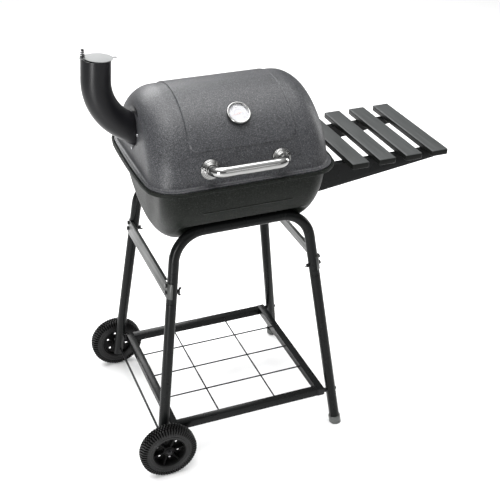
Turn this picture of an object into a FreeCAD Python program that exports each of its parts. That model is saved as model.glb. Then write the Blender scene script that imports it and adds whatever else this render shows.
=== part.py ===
"""Charcoal barrel grill: a bowl and a hinged lid with an elbow chimney, a slatted side table and a two-wheeled cart.

Millimetres, +Z up. Everything is built about the centre of the bowl, on the ground, and moved by body_x at the end,
so that the origin is on the ground under the middle of the whole object.
"""
import FreeCAD, Part
import math
import os

V = FreeCAD.Vector
X_AXIS = V(1, 0, 0)
Y_AXIS = V(0, 1, 0)
Z_AXIS = V(0, 0, 1)

# ---- Driving dimensions ----
body_x = -113.0          # the bowl's centre in the finished frame
sheet = 1.5              # steel sheet of the bowl and the lid
gap = 0.3                # clearance between bodies that move on each other
fit = 0.06               # radial clearance of a shaft in its bore

# Lid: the upper half of an elliptical barrel with rounded ends
lid_z = 765.7
lid_half_x = 227.5
lid_half_y = 191.7
lid_height = 186.9
lid_end_radius = 63.0
lid_lean = 0.07
panel_half_x = 137.0
panel_raise = 2.5
panel_low_z = 853.0

# Bowl: the lower half of a deeper barrel
bowl_z = 768.0
bowl_half_x = 211.0
bowl_half_y = 206.0
bowl_depth = 192.0
bowl_end_radius = 55.0
bowl_lean = 0.08
seat_z = 670.0           # ledge over the recess that takes the leg tubes
seat_half_y = 141.0
seat_half_x = 190.0
bead_z = 708.0           # pressed line on the front and the rear
bead_half_x = 116.0

# Lips: the bowl's rolled rim stands round the lid's
rim_half_x = 242.5
rim_half_y = 212.0
rim_corner = 80.0
rim_bow = 4.0
rim_top = 775.0
rim_low = 766.0
rim_width = 5.0
flange_z = 769.0
lid_rim_inset = 7.5
lid_rim_width = 4.0
lid_rim_low = 771.0
lid_rim_top = 777.0

# Legs: splayed tubes, a U tube over two lower legs at the front and at the rear
tube_radius = 13.5
tube_wall = 1.4
leg_foot_x = 252.9
leg_foot_y = 227.9
leg_slope_x = 0.1281
leg_slope_y = 0.1143
seam_z = 465.0
bar_z = 642.0
bar_bend = 80.0
bar_screw_length = 12.0
neck_length = 40.0
cap_radius = 16.25
cap_height = 22.0
cap_floor = 3.0
wheel_leg_end = 57.0

# Side braces, in the tilted plane of the left or right legs
brace_z = 500.5
brace_height = 39.0
brace_sheet = 2.0
brace_flange = 6.0
brace_wrap = math.radians(78.0)
brace_bolt_up = -6.5     # bolt and screw at each end, along the leg from the brace's middle
brace_screw_up = 11.5
wing_turns = {(-1, -1): 0.0, (-1, 1): 90.0, (1, -1): 45.0, (1, 1): 20.0}

# Bottom shelf
rail = 20.0
rail_wall = 1.2
shelf_half_x = 218.0
shelf_half_y = 220.0
shelf_top = 118.0
shelf_seat = 0.7         # screw heads stand off the leaning legs by this much
wire_radius = 2.0
wire_x = 80.0
wire_y = 103.0

# Wheels and axle
axle_x = -240.0
axle_z = 75.0
axle_radius = 3.0
axle_half = 273.0
wheel_radius = 75.0
wheel_width = 34.0
wheel_inner_y = 238.5
tyre_bore = 44.0
rim_ribs = 6
rim_turn = 8.0           # angle of the first rib above the horizontal

# Side table
slat_count = 4
slat_first_x = 289.0
slat_pitch = 75.0
slat_width = 46.0
slat_half_y = 163.0
slat_top = 754.0
slat_thick = 16.0
bracket_y = 119.0
bracket_sheet = 2.0
bracket_root_z = 668.0   # the plate's lower edge, at the bowl and at the tip
bracket_tip_z = 714.0
bracket_flange = 20.0

# Chimney
pipe_radius = 35.2
pipe_wall = 1.5
pipe_top = V(-297.5, 0, 1043.0)
pipe_lean = math.radians(4.5)     # of the upper run from the vertical, towards the table
pipe_slope = math.radians(55.0)   # of the lower run from the vertical
pipe_upper = 123.6                # lengths from the corner of the centre line
pipe_lower = 210.0
pipe_bend = 130.0

# Damper, in the frame of the pipe's top
damper_x = 6.0
damper_radius = 33.0
damper_sheet = 1.5
damper_tab = 39.0
damper_pivot_x = -31.2
damper_pin = 1.5
lug_low = -8.0
spring_top = 19.0

# Handle and thermometer on the lid
handle_x = -3.0
handle_half = 88.0
handle_base = V(0, -184.6, 814.5)
handle_rise = math.radians(11.0)
handle_reach = 40.0
handle_radius = 12.5
handle_bend = 24.0
dial_angle = math.radians(51.5)
dial_radius = 28.5
needle_rest = 105.0      # of the pointer, anticlockwise from straight up

# Hinge
hinge_y = 222.5
hinge_z = 776.0
hinge_x = 110.0
hinge_pin = 2.5
knuckle = 5.5

# Grates
grill_z = 753.0
grill_half_x = 200.0
grill_half_y = 180.0
coal_half_x = 185.0
coal_half_y = 160.0

# Air shutter in the bottom of the bowl
shutter_radius = 36.0
shutter_sheet = 1.2

bolt_radius = 3.0


# ---- Geometry helpers ----
def box(x, y, z):
    """Box from three (low, high) pairs."""
    return Part.makeBox(x[1] - x[0], y[1] - y[0], z[1] - z[0], V(x[0], y[0], z[0]))


def rod(start, end, radius):
    return Part.makeCylinder(radius, (end - start).Length, start, end - start)


def pipe_run(start, end, outer, inner):
    return rod(start, end, outer).cut(rod(start, end, inner))


def fuse(shapes):
    whole = shapes[0].multiFuse(shapes[1:]) if len(shapes) > 1 else shapes[0]
    return whole.removeSplitter()


def mirror_x(shape):
    return shape.mirror(V(0, 0, 0), X_AXIS)


def mirror_y(shape):
    return shape.mirror(V(0, 0, 0), Y_AXIS)


def corner_arc(centre, radius, first, last):
    """Arc in a level plane between two angles in degrees."""
    points = []
    for angle in (first, (first + last) / 2, last):
        turn = math.radians(angle)
        points.append(centre + V(radius * math.cos(turn), radius * math.sin(turn), 0))
    return Part.Arc(*points).toShape()


def end_edge(start, end, bow):
    """Short side of a lip: straight, or bowed out in X."""
    if bow == 0:
        return Part.makeLine(start, end)
    return Part.Arc(start, V(start.x + math.copysign(bow, start.x), 0, 0), end).toShape()


def lip_face(half_x, half_y, corner, bow):
    """Rounded rectangle with its two short sides bowed out."""
    cx = half_x - corner
    cy = half_y - corner
    edges = [
        Part.makeLine(V(-cx, -half_y, 0), V(cx, -half_y, 0)),
        corner_arc(V(cx, -cy, 0), corner, -90, 0),
        end_edge(V(half_x, -cy, 0), V(half_x, cy, 0), bow),
        corner_arc(V(cx, cy, 0), corner, 0, 90),
        Part.makeLine(V(cx, half_y, 0), V(-cx, half_y, 0)),
        corner_arc(V(-cx, cy, 0), corner, 90, 180),
        end_edge(V(-half_x, cy, 0), V(-half_x, -cy, 0), bow),
        corner_arc(V(-cx, -cy, 0), corner, 180, 270),
    ]
    return Part.Face(Part.Wire(edges))


def lip_slab(half_x, half_y, corner, bow, low, high):
    slab = lip_face(half_x, half_y, corner, bow).extrude(V(0, 0, high - low))
    slab.translate(V(0, 0, low))
    return slab


def lip_ring(inset, width, low, high):
    """Band that follows the bowl's rim, inset from its outer edge."""
    def slab(distance):
        corner = rim_corner - distance
        return lip_slab(rim_half_x - distance, rim_half_y - distance, corner, rim_bow, low, high)
    return slab(inset).cut(slab(inset + width))


def dome(half_x, half_y, height, end_radius, lean):
    """Upper half of an elliptical barrel along X: leaning, rounded ends, and a skirt below z = 0."""
    skirt = 40.0
    drop = math.asin(skirt / height)
    ellipse = Part.Ellipse(V(0, half_y, 0), V(0, 0, height), V(0, 0, 0))
    arch = Part.ArcOfEllipse(ellipse, -drop, math.pi + drop).toShape()
    base = Part.makeLine(arch.Vertexes[-1].Point, arch.Vertexes[0].Point)
    profile = Part.Face(Part.Wire([arch, base]))
    reach = half_x + 20.0
    profile.translate(V(-reach, 0, 0))
    body = profile.extrude(V(2 * reach, 0, 0))
    tilt = math.degrees(math.atan(lean))
    end = box((0, 200), (-400, 400), (-400, 400))
    end.rotate(V(0, 0, 0), Y_AXIS, -tilt)
    end.translate(V(half_x, 0, 0))
    body = body.cut(end).cut(mirror_x(end))
    rims = [e for e in body.Edges if abs(e.CenterOfMass.x) > 0.7 * half_x and e.BoundBox.ZMax > 0.9 * height]
    return body.makeFillet(end_radius, rims)


def bent_tube(points, bend, radius):
    """Round bar along straight runs joined by tangent arcs of one radius."""
    edges = []
    start = points[0]
    for before, corner, after in zip(points, points[1:], points[2:]):
        incoming = (corner - before).normalize()
        outgoing = (after - corner).normalize()
        half_turn = incoming.getAngle(outgoing) / 2
        setback = bend * math.tan(half_turn)
        inward = (outgoing - incoming).normalize()
        middle = corner + inward * (bend / math.cos(half_turn) - bend)
        first = corner - incoming * setback
        last = corner + outgoing * setback
        edges.append(Part.makeLine(start, first))
        edges.append(Part.Arc(first, middle, last).toShape())
        start = last
    edges.append(Part.makeLine(start, points[-1]))
    path = Part.Wire(edges)
    ring = Part.Wire(Part.makeCircle(radius, points[0], points[1] - points[0]))
    return path.makePipeShell([ring], True, False)


def flat_screw(seat, direction, length, radius):
    """Screw with a low flat head from its head's seat along direction."""
    head = rod(seat - direction * (0.4 * radius), seat, 1.5 * radius)
    return fuse([head, rod(seat, seat + direction * length, radius)])


def screw(seat, direction, length, radius):
    """Round-headed screw from its head's seat along direction."""
    head = rod(seat - direction * (1.1 * radius), seat, 1.8 * radius)
    return fuse([head, rod(seat, seat + direction * length, radius)])


def bolt(seat, direction, grip, radius=bolt_radius):
    """Screw with a hexagon nut that closes the grip."""
    d = V(direction).normalize()
    nut = hex_nut(seat + d * grip, d, radius)
    return fuse([screw(seat, d, grip + 3 * radius, radius), nut])


def hex_nut(seat, direction, radius):
    """Hexagon nut 1.6 radii high, solid, to be fused or drilled."""
    across = 1.9 * radius
    corners = [V(across * math.cos(k * math.pi / 3), across * math.sin(k * math.pi / 3), 0) for k in range(7)]
    prism = Part.Face(Part.makePolygon(corners)).extrude(V(0, 0, 1.6 * radius))
    prism.Placement = FreeCAD.Placement(seat, FreeCAD.Rotation(Z_AXIS, direction))
    return prism


def bolt_hole(seat, direction, grip, radius=bolt_radius):
    d = V(direction).normalize()
    return rod(seat - d * 2, seat + d * (grip + 2), radius + fit)


def drill(shape, holes):
    return shape.cut(Part.makeCompound(holes)) if holes else shape


def group(shapes):
    return shapes[0] if len(shapes) == 1 else Part.makeCompound(shapes)


def lid_solid(offset):
    """Solid inside the lid's skin, set in from the outside by offset, with the raised panel."""
    barrel = dome(lid_half_x - offset, lid_half_y - offset, lid_height - offset, lid_end_radius - offset, lid_lean)
    reach = panel_half_x - offset
    raised = dome(lid_half_x, lid_half_y + panel_raise - offset, lid_height + panel_raise - offset,
                  lid_end_radius, lid_lean)
    low = panel_low_z - lid_z + offset
    raised = raised.common(box((-reach, reach), (-300, 300), (low, 400)))
    solid = barrel.fuse(raised)
    solid.translate(V(0, 0, lid_z))
    return solid


def bowl_solid(offset):
    """Solid inside the bowl's skin, with the recesses for the leg tubes and the flat seat of the air shutter."""
    solid = dome(bowl_half_x - offset, bowl_half_y - offset, bowl_depth - offset, bowl_end_radius - offset, bowl_lean)
    solid.rotate(V(0, 0, 0), X_AXIS, 180)
    solid.translate(V(0, 0, bowl_z))
    recess = box((-seat_half_x - offset, seat_half_x + offset), (-300, -seat_half_y + offset), (500, seat_z + offset))
    return solid.cut(recess).cut(mirror_y(recess))


def leg_point(side_x, side_y, z):
    """Point on a leg's centre line; the sides are +1 or -1."""
    return V(side_x * (leg_foot_x - leg_slope_x * z), side_y * (leg_foot_y - leg_slope_y * z), z)


# ---- Bowl ----
bowl_outer = bowl_solid(0)
bowl_inner = bowl_solid(sheet)


def bar_screw_seats():
    """Places where the bowl is screwed to the two leg bars: inside the bowl, pointing out."""
    return [(V(x, side * (seat_half_y - sheet), bar_z + 4), V(0, side, 0)) for x in (-95, 95) for side in (-1, 1)]


def bracket_bolt_seats():
    """Bolts of the table brackets, from inside the bowl's right wall outwards."""
    seats = []
    for side in (-1, 1):
        for z in (708.0, 728.0):
            wall = bowl_half_x - bowl_lean * (bowl_z - z) - sheet
            seats.append((V(wall - 0.6, side * (bracket_y - 12), z), V(1, 0, 0)))
    return seats


def make_bowl():
    shell = bowl_outer.cut(bowl_inner)
    shell = shell.common(box((-400, 400), (-400, 400), (500, flange_z + sheet)))
    flange = lip_slab(rim_half_x - 1, rim_half_y - 1, rim_corner - 1, rim_bow, flange_z, flange_z + sheet)
    bead = lip_ring(0, rim_width, rim_low, rim_top)
    pad = rod(V(0, 0, bowl_z - bowl_depth - 1), V(0, 0, bowl_z - bowl_depth + 4), shutter_radius + 8)
    line = Part.makeCylinder(1.6, 2 * bead_half_x, V(-bead_half_x, -bead_y(), bead_z), X_AXIS)
    bowl = fuse([shell, flange.cut(bowl_inner), bead, pad, line, mirror_y(line)])
    holes = [bolt_hole(p, d, bar_screw_length) for p, d in bar_screw_seats()]
    holes += [bolt_hole(p, d, 12) for p, d in bracket_bolt_seats()]
    holes += shutter_ports()
    return drill(bowl, holes)


def bead_y():
    """Half width of the bowl's outside at the pressed line, less most of the bead's radius."""
    level = (bowl_z - bead_z) / bowl_depth
    return bowl_half_y * math.sqrt(1 - level * level) - 0.5


def make_bowl_screws():
    """Screws driven from inside the bowl into the near walls of the two leg bars."""
    return group([screw(p - d * 0.1, d, bar_screw_length, bolt_radius) for p, d in bar_screw_seats()])


def make_grate_clips():
    """Four shelf clips on the end walls that carry the cooking grate."""
    clips = []
    for side in (-1, 1):
        clip = box((188, 215), (side * 90 - 12, side * 90 + 12), (746, 748))
        clip = clip.fuse(box((188, 190), (side * 90 - 12, side * 90 + 12), (740, 746)))
        clip = clip.common(bowl_inner).removeSplitter()
        clips += [clip, mirror_x(clip)]
    return group(clips)


# ---- Air shutter under the bowl ----
def shutter_ports():
    """Three sector-like rows of holes and the rivet's hole."""
    floor = bowl_z - bowl_depth
    holes = [rod(V(0, 0, floor - 10), V(0, 0, floor + 10), 3 + fit)]
    for k in range(3):
        turn = math.radians(120 * k)
        centre = V(21 * math.cos(turn), 21 * math.sin(turn), floor - 10)
        holes.append(rod(centre, centre + V(0, 0, 20), 10))
    return holes


def make_shutter():
    top = bowl_z - bowl_depth - 1 - gap
    disc = rod(V(0, 0, top - shutter_sheet), V(0, 0, top), shutter_radius)
    tab = box((-9, 9), (-shutter_radius - 20, -shutter_radius + 4), (top - shutter_sheet, top))
    disc = disc.fuse(tab).removeSplitter()
    return drill(disc, shutter_ports())


def make_shutter_rivet():
    floor = bowl_z - bowl_depth
    low = floor - 1 - shutter_sheet - 2 * gap
    shank = rod(V(0, 0, low), V(0, 0, floor + 4), 3)
    head = rod(V(0, 0, low - 2), V(0, 0, low), 6)
    button = rod(V(0, 0, floor + 4), V(0, 0, floor + 6), 6)
    return fuse([shank, head, button])


# ---- Lid ----
lid_outer = lid_solid(0)
lid_inner = lid_solid(sheet)


def chimney_path():
    """Centre line of the chimney from its top down into the lid."""
    corner = pipe_top - V(math.sin(pipe_lean), 0, math.cos(pipe_lean)) * pipe_upper
    return [pipe_top, corner, corner + V(math.sin(pipe_slope), 0, -math.cos(pipe_slope)) * pipe_lower]


def on_pipe(shape):
    """Move a shape from the frame of the pipe's top, +Z along the upper run, to its place."""
    place = FreeCAD.Placement(pipe_top, FreeCAD.Rotation(Y_AXIS, math.degrees(pipe_lean)))
    shape.Placement = place.multiply(shape.Placement)
    return shape


def chimney_solid(radius):
    return bent_tube(chimney_path(), pipe_bend, radius)


def chimney_screw_seats():
    """Screws through the lid's left wall into the chimney's inner flange, heads outside."""
    spots = [(-43.0, 860.0), (43.0, 860.0), (0.0, 811.0)]
    return [(V(-lid_half_x + lid_lean * (z - lid_z) - 0.3, y, z), V(1, 0, 0)) for y, z in spots]


def handle_out():
    return V(0, -math.cos(handle_rise), math.sin(handle_rise))


def handle_feet():
    return [V(handle_x + side * handle_half, handle_base.y, handle_base.z) for side in (-1, 1)]


def dial_frame():
    """Point on the lid's panel under the thermometer, and the direction it faces."""
    half_y = lid_half_y + panel_raise
    height = lid_height + panel_raise
    u = math.atan(math.tan(dial_angle) * height / half_y)
    point = V(0, -half_y * math.cos(u), lid_z + height * math.sin(u))
    return point, V(0, -math.cos(dial_angle), math.sin(dial_angle))


def hinge_screw_seats():
    """Lid-side hinge screws, from outside the rear wall inwards."""
    return [(V(side * hinge_x + dx, 193.5, 796), V(0, -1, 0)) for side in (-1, 1) for dx in (-8, 8)]


def make_lid():
    shell = lid_outer.cut(lid_inner)
    shell = shell.common(box((-400, 400), (-400, 400), (lid_rim_top - sheet, 1100)))
    flange = lip_slab(rim_half_x - lid_rim_inset - 1, rim_half_y - lid_rim_inset - 1, rim_corner - lid_rim_inset - 1,
                      rim_bow, lid_rim_top - sheet, lid_rim_top)
    bead = lip_ring(lid_rim_inset, lid_rim_width, lid_rim_low, lid_rim_top)
    lid = fuse([shell, flange.cut(lid_inner), bead])
    holes = [bolt_hole(p, d, 8, 2.0) for p, d in chimney_screw_seats()]
    holes += [bolt_hole(p - handle_out() * 4, handle_out(), 8) for p in handle_feet()]
    holes += [bolt_hole(p, d, 12, 2.0) for p, d in hinge_screw_seats()]
    point, out = dial_frame()
    holes.append(rod(point - out * 12, point + out * 3, 4 + fit))
    return drill(lid, holes).cut(chimney_solid(pipe_radius + fit))


def make_handle():
    """Bent steel tube with a threaded plug in each end, coped to the lid."""
    out = handle_out()
    left, right = handle_feet()
    points = [left - out * 3, left + out * handle_reach, right + out * handle_reach, right - out * 3]
    bar = bent_tube(points, handle_bend, handle_radius)
    bore = bent_tube(points, handle_bend, handle_radius - 1.5)
    plugs = [rod(p - out * 3, p + out * 12, handle_radius - 1) for p in (left, right)]
    bar = fuse([bar.cut(bore)] + plugs)
    bar = bar.cut(lid_outer)
    return drill(bar, [rod(p - out * 5, p + out * 11, bolt_radius + fit) for p in (left, right)])


def make_rosettes():
    """Stepped cover rings round the handle's feet."""
    out = handle_out()
    rings = []
    for foot in handle_feet():
        steps = [(24.0, -4.0, 3.5), (21.5, 3.5, 5.5), (18.0, 5.5, 9.0), (15.5, 9.0, 13.0)]
        ring = fuse([rod(foot + out * low, foot + out * high, r) for r, low, high in steps])
        ring = ring.cut(rod(foot - out * 6, foot + out * 15, handle_radius + fit))
        rings.append(ring.cut(lid_outer))
    return group(rings)


def make_handle_screws():
    out = handle_out()
    screws = []
    for foot in handle_feet():
        head = rod(foot - out * 6.5, foot - out * 3.2, 5.5)
        shank = rod(foot - out * 3.2, foot + out * 10, bolt_radius)
        screws.append(head.fuse(shank).removeSplitter())
    return group(screws)


def make_dial_case():
    """Round steel case with a turned-in bezel, and its stem with a nut inside the lid."""
    point, out = dial_frame()
    case = rod(point + out * 0.1, point + out * 11, dial_radius)
    case = case.cut(rod(point + out * 1.6, point + out * 9.6, dial_radius - 1.5))
    case = case.cut(rod(point + out * 9.6, point + out * 11, dial_radius - 4.0))
    stem = rod(point - out * 28, point + out * 1, 3)
    thread = rod(point - out * 10, point + out * 1, 4)
    return fuse([case, stem, thread])


def make_dial_nut():
    point, out = dial_frame()
    seat = point - out * (sheet + 1.2)
    nut = hex_nut(seat, out * -1, 4)
    return nut.cut(rod(point - out * 20, point, 4 + fit))


def make_dial_face():
    point, out = dial_frame()
    face = rod(point + out * 1.6, point + out * 5, dial_radius - 1.5)
    return face.cut(rod(point + out * 3.5, point + out * 6, 1 + fit))


def make_dial_glass():
    point, out = dial_frame()
    return rod(point + out * 8.2, point + out * 9.6, dial_radius - 1.5)


def make_needle():
    """Pointer with a round hub and a short pin in the dial's centre hole."""
    point, out = dial_frame()
    hub = Part.makeCylinder(3, 1.0, V(0, 0, 5.4))
    pin = Part.makeCylinder(1, 1.8, V(0, 0, 3.8))
    tip = Part.makePolygon([V(-1.6, -8, 5.4), V(1.6, -8, 5.4), V(0.5, 20, 5.4), V(-0.5, 20, 5.4), V(-1.6, -8, 5.4)])
    blade = Part.Face(tip).extrude(V(0, 0, 0.8))
    needle = fuse([hub, pin, blade])
    needle.rotate(V(0, 0, 0), Z_AXIS, needle_rest)
    up = V(0, math.sin(dial_angle), math.cos(dial_angle))
    place = FreeCAD.Placement(point, FreeCAD.Rotation(X_AXIS, up, out, "ZXY"))
    needle.Placement = place.multiply(needle.Placement)
    return needle


# ---- Chimney ----
def make_chimney():
    """Elbow pipe coped to the lid, with a flange inside the wall and a lug for the damper's bolt."""
    inner_face = lid_solid(sheet + 2 + fit)
    pipe = chimney_solid(pipe_radius).cut(inner_face)
    flange = lid_solid(sheet + fit).common(rod(V(-300, 0, 860), V(-120, 0, 860), 58)).cut(inner_face)
    keep = box((-240, -180), (-60, 60), (800, 917))
    whole = fuse([pipe, flange.common(keep)]).cut(chimney_solid(pipe_radius - pipe_wall))
    lug = on_pipe(rod(V(damper_pivot_x, 0, lug_low), V(damper_pivot_x, 0, lug_low + 3), 8))
    whole = whole.fuse(lug.common(chimney_solid(pipe_radius - 0.5)))
    holes = [bolt_hole(p, d, 8, 2.0) for p, d in chimney_screw_seats()]
    holes.append(on_pipe(rod(V(damper_pivot_x, 0, -20), V(damper_pivot_x, 0, 5), damper_pin + fit)))
    return drill(whole.removeSplitter(), holes)


def make_chimney_screws():
    return group([bolt(p - d * 0.4, d, 6.0, 2.0) for p, d in chimney_screw_seats()])


def make_damper():
    """Swing disc with an ear round the pivot and a finger tab opposite."""
    z = (gap, gap + damper_sheet)
    tab_x = damper_x + damper_tab
    rounds = [(damper_x, damper_radius), (damper_pivot_x, 7.0), (tab_x, 4.0)]
    pieces = [rod(V(x, 0, z[0]), V(x, 0, z[1]), radius) for x, radius in rounds]
    pieces.append(box((damper_pivot_x, damper_x - 20), (-7, 7), z))
    pieces.append(box((damper_x + 28, tab_x), (-4, 4), z))
    return on_pipe(fuse(pieces).cut(rod(V(damper_pivot_x, 0, -5), V(damper_pivot_x, 0, 5), damper_pin + fit)))


def make_damper_bolt():
    """Bolt up through the lug, with its head below and a nut on top of the spring."""
    head = rod(V(damper_pivot_x, 0, lug_low - 2), V(damper_pivot_x, 0, lug_low), 2.4)
    shank = rod(V(damper_pivot_x, 0, lug_low), V(damper_pivot_x, 0, spring_top + 4), damper_pin)
    nut = hex_nut(V(damper_pivot_x, 0, spring_top), Z_AXIS, 2.0)
    return on_pipe(fuse([head, shank, nut]))


def make_damper_spring():
    """Conical spring that presses the damper onto the pipe, narrow at the top."""
    wire = 1.0
    low = gap + damper_sheet + wire + 0.05
    height = spring_top - wire - 0.05 - low
    helix = Part.makeHelix(5.0, height, 3.0, 10.0)
    section = Part.Wire(Part.makeCircle(wire, V(3.0, 0, 0), Y_AXIS))
    coil = Part.Wire(helix).makePipeShell([section], True, True)
    coil.rotate(V(0, 0, 0), X_AXIS, 180)
    coil.translate(V(damper_pivot_x, 0, low + height))
    return on_pipe(coil)


# ---- Hinges ----
def hinge_profile(points, x, width):
    face = Part.Face(Part.makePolygon([V(x, y, z) for y, z in points] + [V(x, points[0][0], points[0][1])]))
    return face.extrude(V(width, 0, 0))


def hinge_knuckle(x, width):
    return rod(V(x, hinge_y, hinge_z), V(x + width, hinge_y, hinge_z), knuckle)


def hinge_bore(shape, x):
    return shape.cut(rod(V(x - 60, hinge_y, hinge_z), V(x + 60, hinge_y, hinge_z), hinge_pin + fit))


def make_bowl_hinges():
    """Two forked brackets welded to the bowl's rear wall below the rim."""
    brackets = []
    for x in (-hinge_x, hinge_x):
        wall = hinge_profile([(200, 738), (209, 738), (209, 764), (200, 764)], x - 18, 36)
        arm = hinge_profile([(200, 761), (hinge_y + 3, 761), (hinge_y + 3, 764), (200, 764)], x - 18, 36)
        bracket = [wall, arm]
        for side in (-18, 10):
            post = hinge_profile([(hinge_y - 3, 761), (hinge_y + 3, 761), (hinge_y + 3, hinge_z),
                                  (hinge_y - 3, hinge_z)], x + side, 8)
            bracket += [post, hinge_knuckle(x + side, 8)]
        whole = hinge_bore(fuse(bracket), x)
        brackets.append(whole.cut(bowl_outer))
    return group(brackets)


def make_lid_hinges():
    """Two leaves screwed to the lid's rear wall, each with one knuckle between the bracket's two."""
    leaves = []
    for x in (-hinge_x, hinge_x):
        wall = hinge_profile([(180, 783), (193.5, 783), (193.5, 806), (180, 806)], x - 18, 36)
        arm = hinge_profile([(180, 783), (hinge_y + 3, 783), (hinge_y + 3, 786), (180, 786)], x - 9.5, 19)
        post = hinge_profile([(hinge_y - 3, hinge_z), (hinge_y + 3, hinge_z), (hinge_y + 3, 786),
                              (hinge_y - 3, 786)], x - 9.5, 19)
        whole = hinge_bore(fuse([wall, arm, post, hinge_knuckle(x - 9.5, 19)]), x)
        leaves.append(whole.cut(lid_outer))
    screws = [bolt_hole(p, d, 12, 2.0) for p, d in hinge_screw_seats()]
    return drill(group(leaves), screws)


def make_hinge_screws():
    return group([bolt(p, d, 9.0, 2.0) for p, d in hinge_screw_seats()])


def make_hinge_pins():
    pins = []
    for x in (-hinge_x, hinge_x):
        shank = rod(V(x - 19, hinge_y, hinge_z), V(x + 20, hinge_y, hinge_z), hinge_pin)
        head = rod(V(x - 21, hinge_y, hinge_z), V(x - 19, hinge_y, hinge_z), 4.5)
        pins.append(head.fuse(shank).removeSplitter())
    return group(pins)


# ---- Grates ----
def bar_grate(half_x, half_y, z, frame, bar, count, corner):
    """Rounded frame of round bar with straight bars across it."""
    loop = lip_face(half_x, half_y, corner, 0).OuterWire
    loop.translate(V(0, 0, z))
    start = loop.OrderedEdges[0]
    ring = Part.Wire(Part.makeCircle(frame, start.valueAt(start.FirstParameter), start.tangentAt(start.FirstParameter)))
    solid = loop.makePipeShell([ring], True, False)
    bars = []
    for k in range(count):
        x = -half_x + 2 * half_x * (k + 1) / (count + 1)
        inset = max(0.0, abs(x) - (half_x - corner))
        reach = half_y - corner + math.sqrt(corner * corner - inset * inset)
        bars.append(rod(V(x, -reach, z), V(x, reach, z), bar))
    return fuse([solid] + bars)


def make_cooking_grate():
    return bar_grate(grill_half_x - 2.5, grill_half_y - 2.5, grill_z - 2.2, 2.5, 2.0, 21, 45.0)


def make_charcoal_grate():
    z = seat_z + sheet + gap + 3.0
    return bar_grate(coal_half_x - 3.0, coal_half_y - 3.0, z, 3.0, 2.5, 13, 30.0)


# ---- Cart ----
def brace_placement():
    """Frame of the right-hand legs' plane: X outwards, Z up along the legs."""
    tilt = -math.degrees(math.atan(leg_slope_x))
    return FreeCAD.Placement(leg_point(1, 0, brace_z), FreeCAD.Rotation(Y_AXIS, tilt))


def brace_seats(up):
    """Points on the outside of the right brace, over its two legs, at one height in the legs' plane."""
    cosine = math.cos(math.atan(leg_slope_x))
    reach = leg_foot_y - leg_slope_y * (brace_z + up * cosine)
    return [V(tube_radius + brace_sheet, side * reach, up) for side in (-1, 1)]


def placed_right(shape):
    shape.Placement = brace_placement().multiply(shape.Placement)
    return shape


def brace_holes():
    """Holes for the brace's bolts and screws: the right side's four, then the left side's."""
    holes = [placed_right(bolt_hole(seat, V(-1, 0, 0), 32)) for seat in brace_seats(brace_bolt_up)]
    holes += [placed_right(bolt_hole(seat, V(-1, 0, 0), 8)) for seat in brace_seats(brace_screw_up)]
    return holes + [mirror_x(hole) for hole in holes]


def on_leg(shape, side):
    """Move a shape built round +Z onto a leg's centre line, in the brace's frame."""
    slant = math.atan(leg_slope_y * math.cos(math.atan(leg_slope_x)))
    centre = V(0, side * (leg_foot_y - leg_slope_y * brace_z), 0)
    place = FreeCAD.Placement(centre, FreeCAD.Rotation(X_AXIS, side * math.degrees(slant)))
    shape.Placement = place.multiply(shape.Placement)
    return shape


def outer_half(low_x, side):
    """Space on the outer side of a leg, in the leg's own frame, above low_x."""
    y = (0, 40) if side > 0 else (-40, 0)
    return box((low_x, 40), y, (-brace_height, brace_height))


def make_brace():
    """Right brace: a plate wrapped round the legs' outer sides, its top edge folded in between them."""
    leg_y = leg_foot_y - leg_slope_y * brace_z
    z = (-brace_height / 2, brace_height / 2)
    plate = box((tube_radius, tube_radius + brace_sheet), (-leg_y - 20, leg_y + 20), z)
    span = box((0, 40), (-300, 300), z)
    pieces = []
    for side in (-1, 1):
        plate = plate.cut(on_leg(outer_half(0, side), side))
        sleeve = pipe_run(V(0, 0, -60), V(0, 0, 60), tube_radius + brace_sheet, tube_radius + fit)
        wrap = sleeve.common(outer_half(tube_radius * math.cos(brace_wrap), side))
        pieces.append(on_leg(wrap, side).common(span))
    inner = leg_y - tube_radius - 4
    pieces.append(box((tube_radius - brace_flange, tube_radius), (-inner, inner), (z[1] - brace_sheet, z[1])))
    brace = placed_right(fuse([plate] + pieces))
    return drill(brace, brace_holes()[:4])


def wing_nut(turn):
    """Wing nut pointing along -X, its wings turned from +Z."""
    body = rod(V(0, 0, 0), V(-6, 0, 0), 5)
    outline = [(-1.0, 3.0), (-1.0, 5.5), (-4.5, 12.0), (-10.0, 12.0), (-10.0, 8.5), (-6.0, 3.0), (-1.0, 3.0)]
    wing = Part.Face(Part.makePolygon([V(x, -0.8, z) for x, z in outline])).extrude(V(0, 1.6, 0))
    other = wing.copy()
    other.rotate(V(0, 0, 0), X_AXIS, 180)
    nut = fuse([body, wing, other]).cut(rod(V(1, 0, 0), V(-20, 0, 0), bolt_radius + fit))
    nut.rotate(V(0, 0, 0), X_AXIS, turn)
    return nut


def make_brace_bolts():
    """A long bolt and a short screw through each end of each brace."""
    bolts = []
    for up, length in ((brace_bolt_up, 36.0), (brace_screw_up, 9.5)):
        for seat in brace_seats(up):
            head = rod(seat, seat + X_AXIS * 3.5, 5.5)
            shank = rod(seat, seat - X_AXIS * length, bolt_radius)
            bolt_right = placed_right(head.fuse(shank).removeSplitter())
            bolts += [bolt_right, mirror_x(bolt_right)]
    return group(bolts)


def make_wing_nuts():
    nuts = []
    for (side_x, side_y), turn in wing_turns.items():
        nut = wing_nut(turn)
        seat = brace_seats(brace_bolt_up)[0 if side_y < 0 else 1]
        nut.translate(V(-tube_radius - 0.1, seat.y, seat.z))
        nut = placed_right(nut)
        nuts.append(nut if side_x > 0 else mirror_x(nut))
    return group(nuts)


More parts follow.
